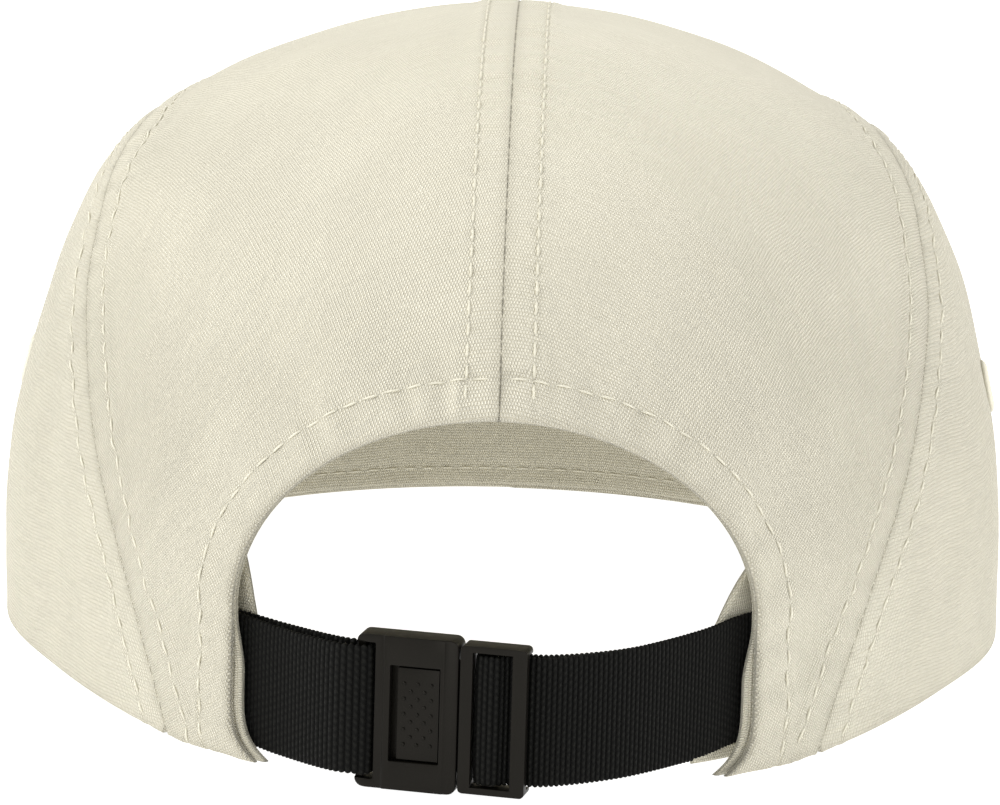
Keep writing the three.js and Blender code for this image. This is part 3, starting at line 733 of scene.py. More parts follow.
def add_band(finish):
    """The sweatband, with rolled edges and a stitch row near its lower edge."""
    across = tape_edges(BAND_HEIGHT - BAND_LIFT, 22)[None, :]
    up = (across / (BAND_HEIGHT - BAND_LIFT)) ** 3
    start, end = (ARCH_EDGE - each["showing"] + each["slant"] * up for each in BAND_ENDS.values())
    around = mix(start, 360 - end, np.linspace(0, 1, 640)[:, None])
    across = np.broadcast_to(across, around.shape)
    height = across + BAND_LIFT
    edge = np.minimum(across, BAND_HEIGHT - BAND_LIFT - across)
    ends = np.minimum(around - start, 360 - end - around) * 1.5
    fall = np.maximum(rolled(edge, BAND_ROLL), rolled(ends, BAND_ROLL))
    bare = band_point(around, height, np.zeros_like(height))
    place = places_along(bare[:, 0])[:, None]
    wave = 0.12 * ripple(bare, 14, 8) * smooth(edge, 0, 3)
    groove = (0.22 + 0.2 * needle_pull(place)) * bell(across, HEM_STITCH, 0.6)
    outer = band_point(around, height, fall - 0.1)
    inner = band_point(around, height, BAND_THICKNESS - fall * 0.95 + wave - groove)
    uv = np.stack(np.broadcast_arrays(place, across), axis=-1)
    # Its seam value is painted shade along the band's rolled edges.
    band = add_shell("sweatband_tape", outer, inner, uv, {"seam": bell(edge, 0, 0.6)})
    finish_piece(band, finish, "trim", "sweatband")
    column = np.abs(across[0] - HEM_STITCH).argmin()
    line = inner[:, column]
    stitch_lines["band"].append((line, unit(line - outer[:, column])))


PEAK_STEPS = np.array([0, 0.05, 0.2, 0.45, 0.8, 1.25, 1.8])


def peak_grid(count_across, outs, layer):
    """Peak from the crown's front hem out to a superellipse: x and y mix by the share out, and the height
    rises by a smooth step of it, most at the middle."""
    across = np.linspace(-PEAK_SPAN, PEAK_SPAN, count_across)
    corner = outer_point(HEM_ANGLE, 1.0)
    angle = across * math.pi / 2
    power = 2 / PEAK_SQUARENESS
    inner = crown_point(180 - across * (180 - HEM_ANGLE), np.ones_like(across), -0.06)
    outer_x = (corner[0] + PEAK_FLARE) * np.sign(across) * np.abs(np.sin(angle)) ** power
    outer_y = corner[1] - (FRONT_REACH + PEAK_REACH + corner[1]) * np.cos(angle) ** power
    out = outs[:, None]
    lift = PEAK_LIFT + PEAK_RISE * smooth(out, 0, 1) * (1 - across ** 2) + layer
    x = mix(inner[:, 0], outer_x, out)
    y = mix(inner[:, 1], outer_y, out)
    return np.stack(np.broadcast_arrays(x, y, lift), axis=-1)


def add_peak(finish):
    """The peak: cloth over a board, with a rolled edge and rows of stitching that follow it."""
    rough = peak_grid(240, np.linspace(0, 1, 12), 0.0)
    depth = line_length(rough.transpose(1, 0, 2)).max()
    outs = np.concatenate([np.linspace(0, 1 - 2.4 / depth, 92), (1 - PEAK_STEPS / depth)[::-1]])
    rim = peak_grid(900, np.array([1.0]), 0.0)[0]
    offsets = [PEAK_FIRST_ROW + PEAK_ROW_PITCH * row for row in range(PEAK_ROWS)]
    grids, distances = [], []
    for layer, sign in ((PEAK_THICKNESS, 1.0), (0.0, -1.0)):
        grid = peak_grid(240, outs, layer)
        distance, place = near_path(grid * [1, 1, 0], rim * [1, 1, 0])
        fall = rolled(distance, PEAK_THICKNESS / 2 - 0.08)
        depths = 0.12 + 0.1 * needle_pull(place)
        grooves = sum(depths * bell(distance, offset, 0.6) for offset in offsets)
        soft = 0.1 * ripple(grid, 22, 21) * smooth(distance, 0, 4)
        grid = grid + np.array([0, 0, sign]) * (soft - fall - grooves * smooth(distance, 1, 3))[..., None]
        grids.append(grid)
        distances.append(distance)
        normals = np.broadcast_to([0.0, 0.0, sign], grid.shape).transpose(1, 0, 2)
        columns = grid.transpose(1, 0, 2)[:, ::-1]
        for offset in offsets:
            point, slope = cross_row(columns, normals, distance.T[:, ::-1], offset)
            if len(point) >= SHORTEST_ROW:
                stitch_lines["peak"].append((point, slope))
    uv = grids[0][..., :2]
    # Its seam value is painted shade along the peak's rolled rim.
    peak = add_shell("peak_cloth", *grids, uv, {"seam": bell(distances[0], 0, 0.8)})
    finish_piece(peak, finish, "canvas", "peak")


# Stitching


THREAD_TAPER = np.array([0.25, 0.75, 1, 1, 1, 0.75, 0.25])
THREAD_BOW = 0.8
TOP_THREADS = {"pitch": STITCH_PITCH, "length": STITCH_LENGTH, "thick": THREAD_RADIUS, "sink": 0.1}


def stitches(name, lines, finish, pitch, length, thick, sink):
    """Rows of short threads fused into one piece. Each thread is a capsule that bows out of the cloth: its
    middle lies on the row, its two ends dip under by sink, and its section is a circle."""
    rings, sides = len(THREAD_TAPER), 6
    t = np.linspace(0, 1, rings)
    radius = thick * THREAD_TAPER
    bow = np.sin(t * math.pi) * (sink + thick * THREAD_BOW) - sink
    turn = np.linspace(0, TURN, sides, endpoint=False)
    points, ends = [], []
    for line, slope in lines:
        along = places_along(line)
        starts = np.arange(pitch * 0.3, along[-1] - length, pitch)
        if len(starts) == 0:
            continue
        at = starts[:, None] + t * length
        middle = points_at(at, along, line)
        normal = unit(points_at(at, along, slope))
        tangent = unit(np.gradient(middle, axis=1))
        side = unit(np.cross(tangent, normal))
        middle = middle + normal * bow[None, :, None]
        ring = (
            side[:, :, None] * np.cos(turn)[None, None, :, None]
            + np.cross(side, tangent)[:, :, None] * np.sin(turn)[None, None, :, None])
        points.append(middle[:, :, None] + ring * radius[None, :, None, None])
        # The end value, 1 where a thread goes into the cloth, carries the painted shade there.
        ends.append(np.broadcast_to((1 - np.sin(t * math.pi))[None, :, None], points[-1].shape[:-1]))
    points = np.concatenate(points)
    ends = np.concatenate(ends)
    count = len(points)
    index = np.arange(rings * sides).reshape(rings, sides)
    wrapped = np.concatenate([index, index[:, :1]], axis=1)
    body = quads(wrapped)
    base = np.arange(count)[:, None, None] * rings * sides
    walls = (body + base).reshape(-1, 4).tolist()
    caps = (index[0] + base[:, 0]).tolist() + (index[-1][::-1] + base[:, 0]).tolist()
    piece = add_mesh(name, points, walls + caps, values={"end": ends})
    make_outward(piece)
    return finish_piece(piece, finish, "trim")


SEAM_THREAD_LIFT = 0.03
SEAM_THREADS = {"pitch": 1.9, "length": 0.95, "thick": 0.13, "sink": 0.02}


def seam_lines():
    """The joints between the panels, for the short threads that show in them."""
    shares = np.linspace(0.02, 0.995, 400)
    centre = np.stack([shares * 0, mix(-TOP_SHARE, ARCH_TOP, shares)], axis=-1)
    lines = []
    for flat in (centre, shoulder_map(shares), front_seam_map(shares), top_seam_map(shares)):
        slope = map_normal(flat)
        point = at_map(flat) + slope * SEAM_THREAD_LIFT
        lines.append((point, slope))
        if flat is not centre:
            lines.append((point * [-1, 1, 1], slope * [-1, 1, 1]))
    return lines


def make_outward(piece):
    """Turns the faces of a closed mesh outward."""
    work = bmesh.new()
    work.from_mesh(piece.data)
    bmesh.ops.recalc_face_normals(work, faces=work.faces)
    work.to_mesh(piece.data)
    work.free()


# Webbing


def centripetal(stops, per_span):
    """Centripetal Catmull-Rom curve through the stops: the tangents divide by the roots of the spans."""
    stops = np.array(stops)
    ends = np.concatenate([[2 * stops[0] - stops[1]], stops, [2 * stops[-1] - stops[-2]]])
    parts = []
    t = np.linspace(0, 1, per_span, endpoint=False)[:, None]
    for k in range(len(stops) - 1):
        p0, p1, p2, p3 = ends[k:k + 4]
        d0, d1, d2 = (max(np.linalg.norm(b - a) ** 0.5, 1e-4) for a, b in ((p0, p1), (p1, p2), (p2, p3)))
        a = ((p1 - p0) / d0 - (p2 - p0) / (d0 + d1) + (p2 - p1) / d1) * d1
        b = ((p2 - p1) / d1 - (p3 - p1) / (d1 + d2) + (p3 - p2) / d2) * d1
        cubic = (2 * p1 - 2 * p2 + a + b) * t ** 3
        parts.append(cubic + (-3 * p1 + 3 * p2 - 2 * a - b) * t ** 2 + a * t + p1)
    parts.append(stops[-1:])
    return np.concatenate(parts)


PER_SPAN, PER_RIB, ROUND_SECTION = 60, 8, 44


def add_webbing(name, stops, ups, rib, finish, node):
    """Ribbed webbing along a route: a flat rounded section whose thickness and width swell with each rib."""
    route = centripetal(stops, PER_SPAN)
    along = places_along(route)
    at = np.arange(0, along[-1], rib / PER_RIB)
    up = unit(points_at(at, along, centripetal(ups, PER_SPAN)))
    route = points_at(at, along, route)
    tangent = unit(np.gradient(route, axis=0))
    side = unit(np.cross(tangent, up))
    swell = np.abs(np.sin(math.pi * at / rib)) ** 0.7
    half_width = WEB_WIDTH / 2 - 0.26 + 0.28 * swell
    half_thick = WEB_THICKNESS / 2 - 0.24 + 0.21 * swell
    turn = np.linspace(0, TURN, ROUND_SECTION, endpoint=False)
    across = np.sign(np.cos(turn)) * np.abs(np.cos(turn)) ** 0.45
    through = np.sign(np.sin(turn)) * np.abs(np.sin(turn)) ** 0.32
    points = (
        route[:, None]
        + up[:, None] * (half_width[:, None] * across)[..., None]
        + side[:, None] * (half_thick[:, None] * through)[..., None])
    count, sides = points.shape[:2]
    index = np.arange(count * sides).reshape(count, sides)
    walls = quads(np.concatenate([index, index[:, :1]], axis=1)).tolist()
    caps = [index[0].tolist(), index[-1][::-1].tolist()]
    uv = np.stack(np.broadcast_arrays(at[:, None] / rib, across * WEB_WIDTH / 2), axis=-1)
    piece = add_mesh(name, points, walls + caps, uv)
    make_outward(piece)
    return finish_piece(piece, finish, "webbing", node)


BUCKLE_YAW, BUCKLE_ROLL = 13.0, 0.2
BUCKLE_X, BUCKLE_INSET, BUCKLE_LIFT = 7.0, 2.2, 0.8
buckle_place = (
    Matrix.Translation((BUCKLE_X, REAR_REACH - BUCKLE_INSET, WEB_MIDDLE + BUCKLE_LIFT))
    @ Matrix.Rotation(-math.radians(BUCKLE_YAW), 4, "Z")
    @ Matrix.Rotation(-math.radians(BUCKLE_ROLL), 4, "Y"))
SOCKET_RIGHT, SOCKET_LENGTH, SOCKET_HEIGHT, SOCKET_THICKNESS = -2.6, 15.8, 23.7, 4.5
BAR_WIDTH, BAR_THICKNESS, ARM_HEIGHT = 1.2, 1.6, 1.3
WINDOW_INSET, WINDOW_LENGTH, WINDOW_HEIGHT = 2.7, 7.7, 14.8
PLUG_LENGTH, PLUG_HEIGHT, PLUG_THICKNESS, PLUG_INSET = 10.2, 22.8, 3.6, 0.25
END_BAR, END_BAR_THICKNESS, INNER_BAR, CROSS_BAR, MIDDLE_BAR, WEAVE = 2.2, 1.5, 1.6, 1.0, 1.6, 0.4
SLOT_WIDTH = WEB_THICKNESS + 2 * GAP
SOCKET_LEFT = SOCKET_RIGHT + SOCKET_LENGTH
SLOT_LEFT = SOCKET_LEFT - BAR_WIDTH
PLATE_LEFT = SLOT_LEFT - SLOT_WIDTH
PLUG_LEFT = SOCKET_RIGHT - GAP
PLUG_RIGHT = PLUG_LEFT - PLUG_LENGTH
PLUG_FRONT = SOCKET_THICKNESS / 2 - PLUG_INSET
END_BAR_LEFT = PLUG_RIGHT + END_BAR
INNER_BAR_RIGHT = PLUG_LEFT - INNER_BAR
MIDDLE_BAR_LEFT = INNER_BAR_RIGHT - SLOT_WIDTH
MIDDLE_BAR_RIGHT = MIDDLE_BAR_LEFT - MIDDLE_BAR
MIDDLE_BAR_FRONT = PLUG_FRONT - WEB_THICKNESS - WEAVE
MIDDLE_BAR_BACK = MIDDLE_BAR_FRONT - MIDDLE_BAR
WRAP = GAP + WEB_THICKNESS / 2
BUCKLE_UP = np.array((buckle_place.to_3x3() @ Vector((0, 0, 1)))[:])
SKY = np.array([0.0, 0.0, 1.0])


def in_buckle(x, y):
    """A stop of the webbing in the buckle's frame, with the direction of its width."""
    return np.array((buckle_place @ Vector((x, y, 0)))[:]), BUCKLE_UP


def under_crown(side, around, depth, lift=0.0):
    """A stop of the webbing at a depth under the crown's surface, raised by lift."""
    point = crown_point(np.array(around), down_at_height(WEB_TOP + lift), depth)
    return np.array([side * point[0], point[1], WEB_MIDDLE + lift]), SKY


def wrap_stops(x, side, front, back):
    """Stops round a bar's edge at x, from the front of it to the back."""
    slant = WRAP * math.sqrt(0.5)
    offsets = [
        (0, front + WRAP),
        (slant, front + slant),
        (WRAP, front),
        (WRAP, back),
        (slant, back - slant),
        (0, back - WRAP),
    ]
    return [in_buckle(x + side * out, y) for out, y in offsets]


def sewn_stops(side, depth, lift=0.0):
    """Stops where the webbing is sewn in, from its inner end to the arch's edge."""
    return [under_crown(side, ARCH_EDGE + angle, depth, lift) for angle in (WEB_SEWN, WEB_SEWN / 2, 0)]


# Stops between the arch and the buckle, by share of the arch's angle and depth under the crown. The lifts
# are shares of the webbing's rise, of the piece and of its tail.
LEFT_STOP = {"angle": 27 / 32, "depth": 1.8}
RIGHT_STOPS = [
    {"angle": 26 / 32, "depth": 1.3, "lift": 0.75, "tail": 0.35},
    {"angle": 1 / 2, "depth": -2, "lift": 0.5, "tail": 0.3},
]
WEB_RIBS = {"left": 1.0, "right": 0.8}


def right_run(below, key):
    """The right piece's stops from the arch to the buckle, below the first layer by below."""
    return [
        under_crown(-1, ARCH_EDGE * stop["angle"], below + stop["depth"], WEB_RISE * stop[key])
        for stop in RIGHT_STOPS]


def add_straps(finish):
    """The left piece goes round the socket's bar and back on itself. The right piece passes behind the end
    bar, over the middle bar and back, and its tail lies behind."""
    layer = BAR_THICKNESS / 2 + WRAP
    angle = ARCH_EDGE * LEFT_STOP["angle"]
    beside = SOCKET_LEFT + 2.5
    left = [
        *sewn_stops(1, WEB_DEPTH),
        under_crown(1, angle, LEFT_STOP["depth"]),
        in_buckle(beside, layer),
        *wrap_stops(SLOT_LEFT, -1, BAR_THICKNESS / 2, -BAR_THICKNESS / 2),
        in_buckle(beside, -layer),
        under_crown(1, angle, LEFT_STOP["depth"] + 2 * layer - 1),
        *reversed(sewn_stops(1, WEB_DEPTH + WEB_PITCH)),
    ]
    over = MIDDLE_BAR_FRONT + WRAP
    under = MIDDLE_BAR_BACK - WRAP
    behind = PLUG_FRONT - END_BAR_THICKNESS - WRAP
    entry = PLUG_RIGHT - 1.5
    right = [
        *sewn_stops(-1, WEB_DEPTH, WEB_RISE),
        *right_run(0, "lift"),
        in_buckle(entry, behind),
        in_buckle(END_BAR_LEFT - 0.5, behind),
        in_buckle(END_BAR_LEFT + 1.5, (behind + over) / 2),
        in_buckle(MIDDLE_BAR_RIGHT - 0.2, over),
        *wrap_stops(MIDDLE_BAR_LEFT, 1, MIDDLE_BAR_FRONT, MIDDLE_BAR_BACK),
        in_buckle(END_BAR_LEFT, under),
        in_buckle(entry, under),
        *reversed(right_run(behind - under, "tail")),
    ]
    for word, stops in (("left", left), ("right", right)):
        points, ups = zip(*stops)
        add_webbing("webbing_" + word, points, ups, WEB_RIBS[word], finish, "strap_" + word)


# Buckle, made in its own frame: +X towards the socket, +Y outwards and +Z up

SOCKET_CORNER, SOCKET_BEVEL, PLUG_CORNER, PLUG_BEVEL = 1.3, 0.2, 0.7, 0.16
TONGUE_DEPTH = 1.2
# Raised dots on the press pad: how many in each column, and their pitches.
DOT_COLUMNS = (5, 4, 5, 4, 5)
DOT_PITCH_ACROSS, DOT_PITCH_UP, DOT_RADIUS = 1.05, 2.35, 0.3


def block(name, low, high):
    """A plain block between two corners, used as a body or a cutter."""
    work = bmesh.new()
    bmesh.ops.create_cube(work, size=1)
    for vertex in work.verts:
        vertex.co = Vector([mix(low[k], high[k], vertex.co[k] + 0.5) for k in range(3)])
    mesh = bpy.data.meshes.new(name)
    work.to_mesh(mesh)
    work.free()
    return add_object(name, mesh)


def prism(name, axis, points, low, high):
    """A closed prism: an outline in X and Y carried along Z from low to high, or one in X and Z along Y."""
    count = len(points)
    layers = []
    for level in (low, high):
        if axis == "Z":
            layers += [(x, y, level) for x, y in points]
        else:
            layers += [(x, level, z) for x, z in points]
    faces = [list(range(count)), list(range(2 * count - 1, count - 1, -1))]
    faces += [[k, (k + 1) % count, (k + 1) % count + count, k + count] for k in range(count)]
    mesh = bpy.data.meshes.new(name)
    mesh.from_pydata(layers, [], faces)
    made = add_object(name, mesh)
    make_outward(made)
    return made


def combine(body, other, operation):
    """Joins or cuts body with another closed solid, which is then removed."""
    change = body.modifiers.new("change", "BOOLEAN")
    change.operation = operation
    change.object = other
    change.solver = "EXACT"
    apply_modifiers(body)
    bpy.data.objects.remove(other, do_unlink=True)


def cut(body, low, high):
    """Cuts a block between two corners out of body."""
    combine(body, block("cutter", low, high), "DIFFERENCE")


def add_to(body, low, high):
    """Joins a block between two corners to body."""
    combine(body, block("added", low, high), "UNION")


def apply_modifiers(body):
    """Replaces a body's mesh by its finished one."""
    shown = body.evaluated_get(bpy.context.evaluated_depsgraph_get())
    mesh = bpy.data.meshes.new_from_object(shown)
    body.modifiers.clear()
    body.data = mesh


def round_outline(right, left, bottom, top, corner, steps=5):
    """A rectangle in X and Z with round corners, anticlockwise."""
    centres = [
        (left - corner, bottom + corner, -90),
        (left - corner, top - corner, 0),
        (right + corner, top - corner, 90),
        (right + corner, bottom + corner, 180),
    ]
    points = []
    for x, z, start in centres:
        for step in range(steps + 1):
            angle = math.radians(start + 90 * step / steps)
            points.append((x + corner * math.cos(angle), z + corner * math.sin(angle)))
    return points


def edge_bevel(body, width, segments=3):
    """Rounds the edges sharper than 35 degrees."""
    bevel = body.modifiers.new("edges", "BEVEL")
    bevel.width = width
    bevel.segments = segments
    bevel.limit_method = "ANGLE"
    bevel.angle_limit = math.radians(35)
    bevel.miter_outer = "MITER_ARC"
    bevel.use_clamp_overlap = True
    apply_modifiers(body)


def place_buckle_part(body, finish, node):
    """Moves a part from the buckle's frame to the cap's, scales it to metres and gives it its finish."""
    body.data.transform(buckle_place)
    body.data.transform(Matrix.Translation((0, SHIFT, 0)))
    body.data.transform(Matrix.Scale(MM, 4))
    body.data.shade_smooth()
    body.data.set_sharp_from_angle(angle=math.radians(40))
    body.name = body.data.name = node + "_moulding"
    finish_piece(body, finish, "buckle", node)


def add_socket(finish):
    """The socket: a stepped plate with a slot for the webbing, a window, and a cavity for the tongue."""
    front = SOCKET_THICKNESS / 2
    top = SOCKET_HEIGHT / 2
    inside = top - ARM_HEIGHT
    section = [
        (SOCKET_RIGHT, -front),
        (SOCKET_LEFT, -front),
        (SOCKET_LEFT, front - 0.75),
        (PLATE_LEFT + 1.1, front - 0.22),
        (PLATE_LEFT - 1.25, front - 0.22),
        (PLATE_LEFT - 1.45, front),
        (SOCKET_RIGHT + 2.1, front),
        (SOCKET_RIGHT + 1.95, front - 0.12),
        (SOCKET_RIGHT + 0.2, front - 0.34),
        (SOCKET_RIGHT, front - 0.45),
    ]
    body = prism("socket", "Z", section, -top, top)
    outline = round_outline(SOCKET_RIGHT, SOCKET_LEFT, -top, top, SOCKET_CORNER)
    combine(body, prism("corners", "Y", outline, -4, 4), "INTERSECT")
    window_right = SOCKET_RIGHT + WINDOW_INSET
    window_left = window_right + WINDOW_LENGTH
    half = WINDOW_HEIGHT / 2
    cutters = [
        ((PLATE_LEFT, -5, -inside), (SLOT_LEFT, 5, inside)),
        ((SLOT_LEFT - 1, BAR_THICKNESS / 2, -inside), (SOCKET_LEFT + 1, 5, inside)),
        ((SLOT_LEFT - 1, -5, -inside), (SOCKET_LEFT + 1, -BAR_THICKNESS / 2, inside)),
        ((SOCKET_RIGHT - 1, front - 3.3, -8.8), (SOCKET_RIGHT + 11.2, front - TONGUE_DEPTH, 8.8)),
        ((window_right, front - 2.2, -half), (window_left, 5, half)),
    ]
    for low, high in cutters:
        cut(body, low, high)
    edge_bevel(body, SOCKET_BEVEL)
    place_buckle_part(body, finish, "buckle_socket")


def add_plug(finish):
    """The plug: a frame with three bars, and the tongue with its press pad and raised dots."""
    front = PLUG_FRONT
    back = front - PLUG_THICKNESS
    top = PLUG_HEIGHT / 2
    inside = top - CROSS_BAR
    outline = round_outline(PLUG_RIGHT, PLUG_LEFT, -top, top, PLUG_CORNER)
    body = prism("plug", "Y", outline, back, front)
    cut(body, (END_BAR_LEFT, back - 1, -inside), (INNER_BAR_RIGHT - 0.24, front + 1, inside))
    thinned = front - END_BAR_THICKNESS
    cut(body, (PLUG_RIGHT - 1, back - 1, -inside), (END_BAR_LEFT + 0.01, thinned, inside))
    bar_top = inside + CROSS_BAR / 2
    bar_corner = (MIDDLE_BAR_LEFT, MIDDLE_BAR_FRONT, bar_top)
    add_to(body, (MIDDLE_BAR_RIGHT, MIDDLE_BAR_BACK, -bar_top), bar_corner)
    tongue_front = SOCKET_THICKNESS / 2 - TONGUE_DEPTH - GAP
    tongue_corner = (SOCKET_RIGHT + 10.9, tongue_front, 8.5)
    add_to(body, (PLUG_LEFT - 0.8, tongue_front - 1.5, -8.5), tongue_corner)
    pad_top = WINDOW_HEIGHT / 2 - 0.35
    pad_right = SOCKET_RIGHT + WINDOW_INSET + 0.2
    pad_left = pad_right + WINDOW_LENGTH - 1.35
    pad_front = SOCKET_THICKNESS / 2 - 0.45
    add_to(body, (pad_right, tongue_front - 0.75, -pad_top), (pad_left, pad_front, pad_top))
    edge_bevel(body, PLUG_BEVEL)
    work = bmesh.new()
    work.from_mesh(body.data)
    middle_x = (pad_left + pad_right) / 2 + 0.1
    for column, dots in enumerate(DOT_COLUMNS):
        x = middle_x + (column - 2) * DOT_PITCH_ACROSS
        for dot in range(dots):
            at = Vector((x, pad_front, (dot - (dots - 1) / 2) * DOT_PITCH_UP))
            grown = Matrix.Translation(at) @ Matrix.Diagonal((1, 0.8, 1, 1))
            bmesh.ops.create_icosphere(work, subdivisions=2, radius=DOT_RADIUS, matrix=grown)
    work.to_mesh(body.data)
    work.free()
    place_buckle_part(body, finish, "buckle_plug")


# Eyelets

EYELET_ANGLE, EYELET_HEIGHT, EYELET_HOLE, EYELET_FLANGE, EYELET_THICKNESS = 88.0, 42.0, 1.8, 4.4, 0.7
EYELET_CREST = 3.1
EYELET_THREADS, EYELET_SWELL = 46, 0.07


def add_eyelets(finish):
    """Sewn eyelets: a ring turned about the panel's normal, whose section is a flat oval outside the wall and
    one inside it joined through the hole, and whose surface swells with each thread."""
    turn = np.linspace(0, TURN, EYELET_THREADS * 4, endpoint=False)[:, None]
    bottom = -WALL - GAP - EYELET_THICKNESS
    profile = np.array([
        [EYELET_HOLE, bottom * 0.5],
        [EYELET_HOLE + 0.1, 0.1],
        [EYELET_HOLE + 0.5, 0.36],
        [EYELET_CREST, 0.42],
        [EYELET_FLANGE - 0.6, 0.26],
        [EYELET_FLANGE, -0.2],
        [EYELET_FLANGE - 0.3, -0.5],
        [EYELET_HOLE + 0.7, -0.5],
        [EYELET_HOLE + 0.7, -WALL - 0.1],
        [EYELET_FLANGE - 0.6, -WALL - 0.2],
        [EYELET_FLANGE - 0.2, -WALL - 0.6],
        [EYELET_CREST, bottom],
        [EYELET_HOLE + 0.5, bottom + 0.1],
        [EYELET_HOLE + 0.1, bottom + 0.5],
    ])
    swell = EYELET_SWELL * (np.abs(np.sin(turn * EYELET_THREADS / 2)) - 0.5)
    centre = profile.mean(axis=0)
    grown = profile[None] + unit(profile - centre)[None] * swell[..., None]
    grown[:, 6:9] = profile[6:9]
    flat = on_map(EYELET_ANGLE, float(down_at_height(EYELET_HEIGHT)))
    normal, middle = map_normal(flat), at_map(flat)
    first = unit(np.cross(normal, SKY))
    second = np.cross(normal, first)
    radial = first * np.cos(turn)[..., None] + second * np.sin(turn)[..., None]
    points = middle + radial * grown[..., :1] + normal * grown[..., 1:]
    rings, sides = points.shape[:2]
    index = np.arange(rings * sides).reshape(rings, sides)
    index = np.concatenate([index, index[:1]])
    index = np.concatenate([index, index[:, :1]], axis=1)
    for side, word in ((1, "left"), (-1, "right")):
        piece = add_mesh("sewn_eyelet_" + word, points * [side, 1, 1], quads(index).tolist())
        make_outward(piece)
        finish_piece(piece, finish, "trim", "eyelet_" + word)


# Finishes


class Signal:
    """A socket of a shader tree. Sums and products on it add Math nodes."""

    def __init__(self, finish, socket):
        self.finish = finish
        self.socket = socket

    def math(self, operation, *others):
        """A Math node on this socket and the others."""
        return self.finish.node("ShaderNodeMath", {"operation": operation}, dict(enumerate((self, *others))))

    def __add__(self, other):
        return self.math("ADD", other)

    __radd__ = __add__

    def __sub__(self, other):
        return self.math("SUBTRACT", other)

    def __rsub__(self, other):
        return self.finish.node("ShaderNodeMath", {"operation": "SUBTRACT"}, {0: other, 1: self})

    def __mul__(self, other):
        return self.math("MULTIPLY", other)

    __rmul__ = __mul__

    def __truediv__(self, other):
        return self.math("DIVIDE", other)

    def __pow__(self, other):
        return self.math("POWER", other)


class Finish:
    """A material and the one method that adds its nodes."""

    def __init__(self, name):
        self.material = bpy.data.materials.new(name)
        self.material.use_nodes = True
        self.tree = self.material.node_tree
        self.tree.nodes.clear()

    def node(self, kind, settings=None, inputs=None, output=0):
        """Adds a node, sets its settings and then its inputs, and returns one of its outputs, or several."""
        made = self.tree.nodes.new(kind)
        for key, value in (settings or {}).items():
            setattr(made, key, value)
        for key, value in (inputs or {}).items():
            if isinstance(value, Signal):
                self.tree.links.new(value.socket, made.inputs[key])
            else:
                made.inputs[key].default_value = value
        if isinstance(output, tuple):
            return [Signal(self, made.outputs[each]) for each in output]
        return Signal(self, made.outputs[output]) if len(made.outputs) else None

    def tint(self, colour, share, other):
        """Mixes a linked colour, or a plain one with its alpha, towards another colour by a signal."""
        inputs = {0: share, 6: colour, 7: (*other, 1)}
        return self.node("ShaderNodeMix", {"data_type": "RGBA", "clamp_factor": True}, inputs, 2)

    def colour(self, share, dark, light):
        """Mixes two plain colours by a signal."""
        return self.tint((*dark, 1), share, light)

    def attribute(self, name):
        """A value that the mesh gives at each point."""
        return self.node("ShaderNodeAttribute", {"attribute_name": name}, None, 2)

    def spot(self):
        """The object's own coordinates in metres."""
        return self.node("ShaderNodeTexCoord", None, None, 3)

    def bend(self, vector, place, scale, reach):
        """A vector moved by up to reach in millimetres, by a coarse noise over place."""
        noise = self.node("ShaderNodeTexNoise", None, {"Vector": place, "Scale": scale, "Detail": 1.0}, 1)
        inputs = {0: noise, 1: (reach * MM,) * 3, 2: vector}
        return self.node("ShaderNodeVectorMath", {"operation": "MULTIPLY_ADD"}, inputs)

    def split(self, vector):
        """The first two parts of a vector in metres, in millimetres."""
        first, second = self.node("ShaderNodeSeparateXYZ", None, {0: vector}, (0, 1))
        return first / MM, second / MM

    def noise(self, vector, scale, detail=2.0, roughness=0.5):
        """Value of a noise texture."""
        inputs = {"Vector": vector, "Scale": scale, "Detail": detail, "Roughness": roughness}
        return self.node("ShaderNodeTexNoise", None, inputs)

    def stretched(self, vector, scale):
        """A vector multiplied by another, part by part."""
        return self.node("ShaderNodeVectorMath", {"operation": "MULTIPLY"}, {0: vector, 1: scale})

    def close(self, colour, roughness, height, depth, **fixed):
        """Ends the material: a Principled shader with a bump of that depth in metres."""
        bump = self.node("ShaderNodeBump", None, {"Strength": 1.0, "Distance": depth, "Height": height})
        inputs = {"Base Color": colour, "Roughness": roughness, "Normal": bump}
        inputs.update({key.replace("_", " "): value for key, value in fixed.items()})
        shader = self.node("ShaderNodeBsdfPrincipled", None, inputs)
        self.node("ShaderNodeOutputMaterial", None, {"Surface": shader})
        return self.material


def cloth_place(finish):
    """The cloth's own coordinates in millimetres, as two signals, and the UV socket itself."""
    place = finish.node("ShaderNodeUVMap", {"uv_map": "Cloth"})
    bent = finish.bend(place, place, 45.0, 2.2)
    bent = finish.bend(bent, place, 420.0, 0.3)
    across, along = finish.split(bent)
    return across, along, place


def weave_height(across, along, knot_pitch, row_pitch, depth):
    """Plain weave with thick rows: w = sin(pi along / row), c = cos(2 pi across / knot), and the height is
    |w|^0.7 (1 - depth + depth c sign(w)), so that the knots of each row sit between those of the last."""
    w = (along * (math.pi / row_pitch)).math("SINE")
    c = (across * (TURN / knot_pitch)).math("COSINE")
    return w.math("ABSOLUTE") ** 0.7 * (c * w.math("SIGN") * depth + (1 - depth))


# The relief of the weave low down and high up, the height in metres where it starts to fade, and how
# fast it does. It scales the weave's bump and also its painted shade between the knots.
RELIEF_LOW, RELIEF_HIGH, FADE_START, FADE_RATE = 1.4, 0.65, 0.055, 22.0


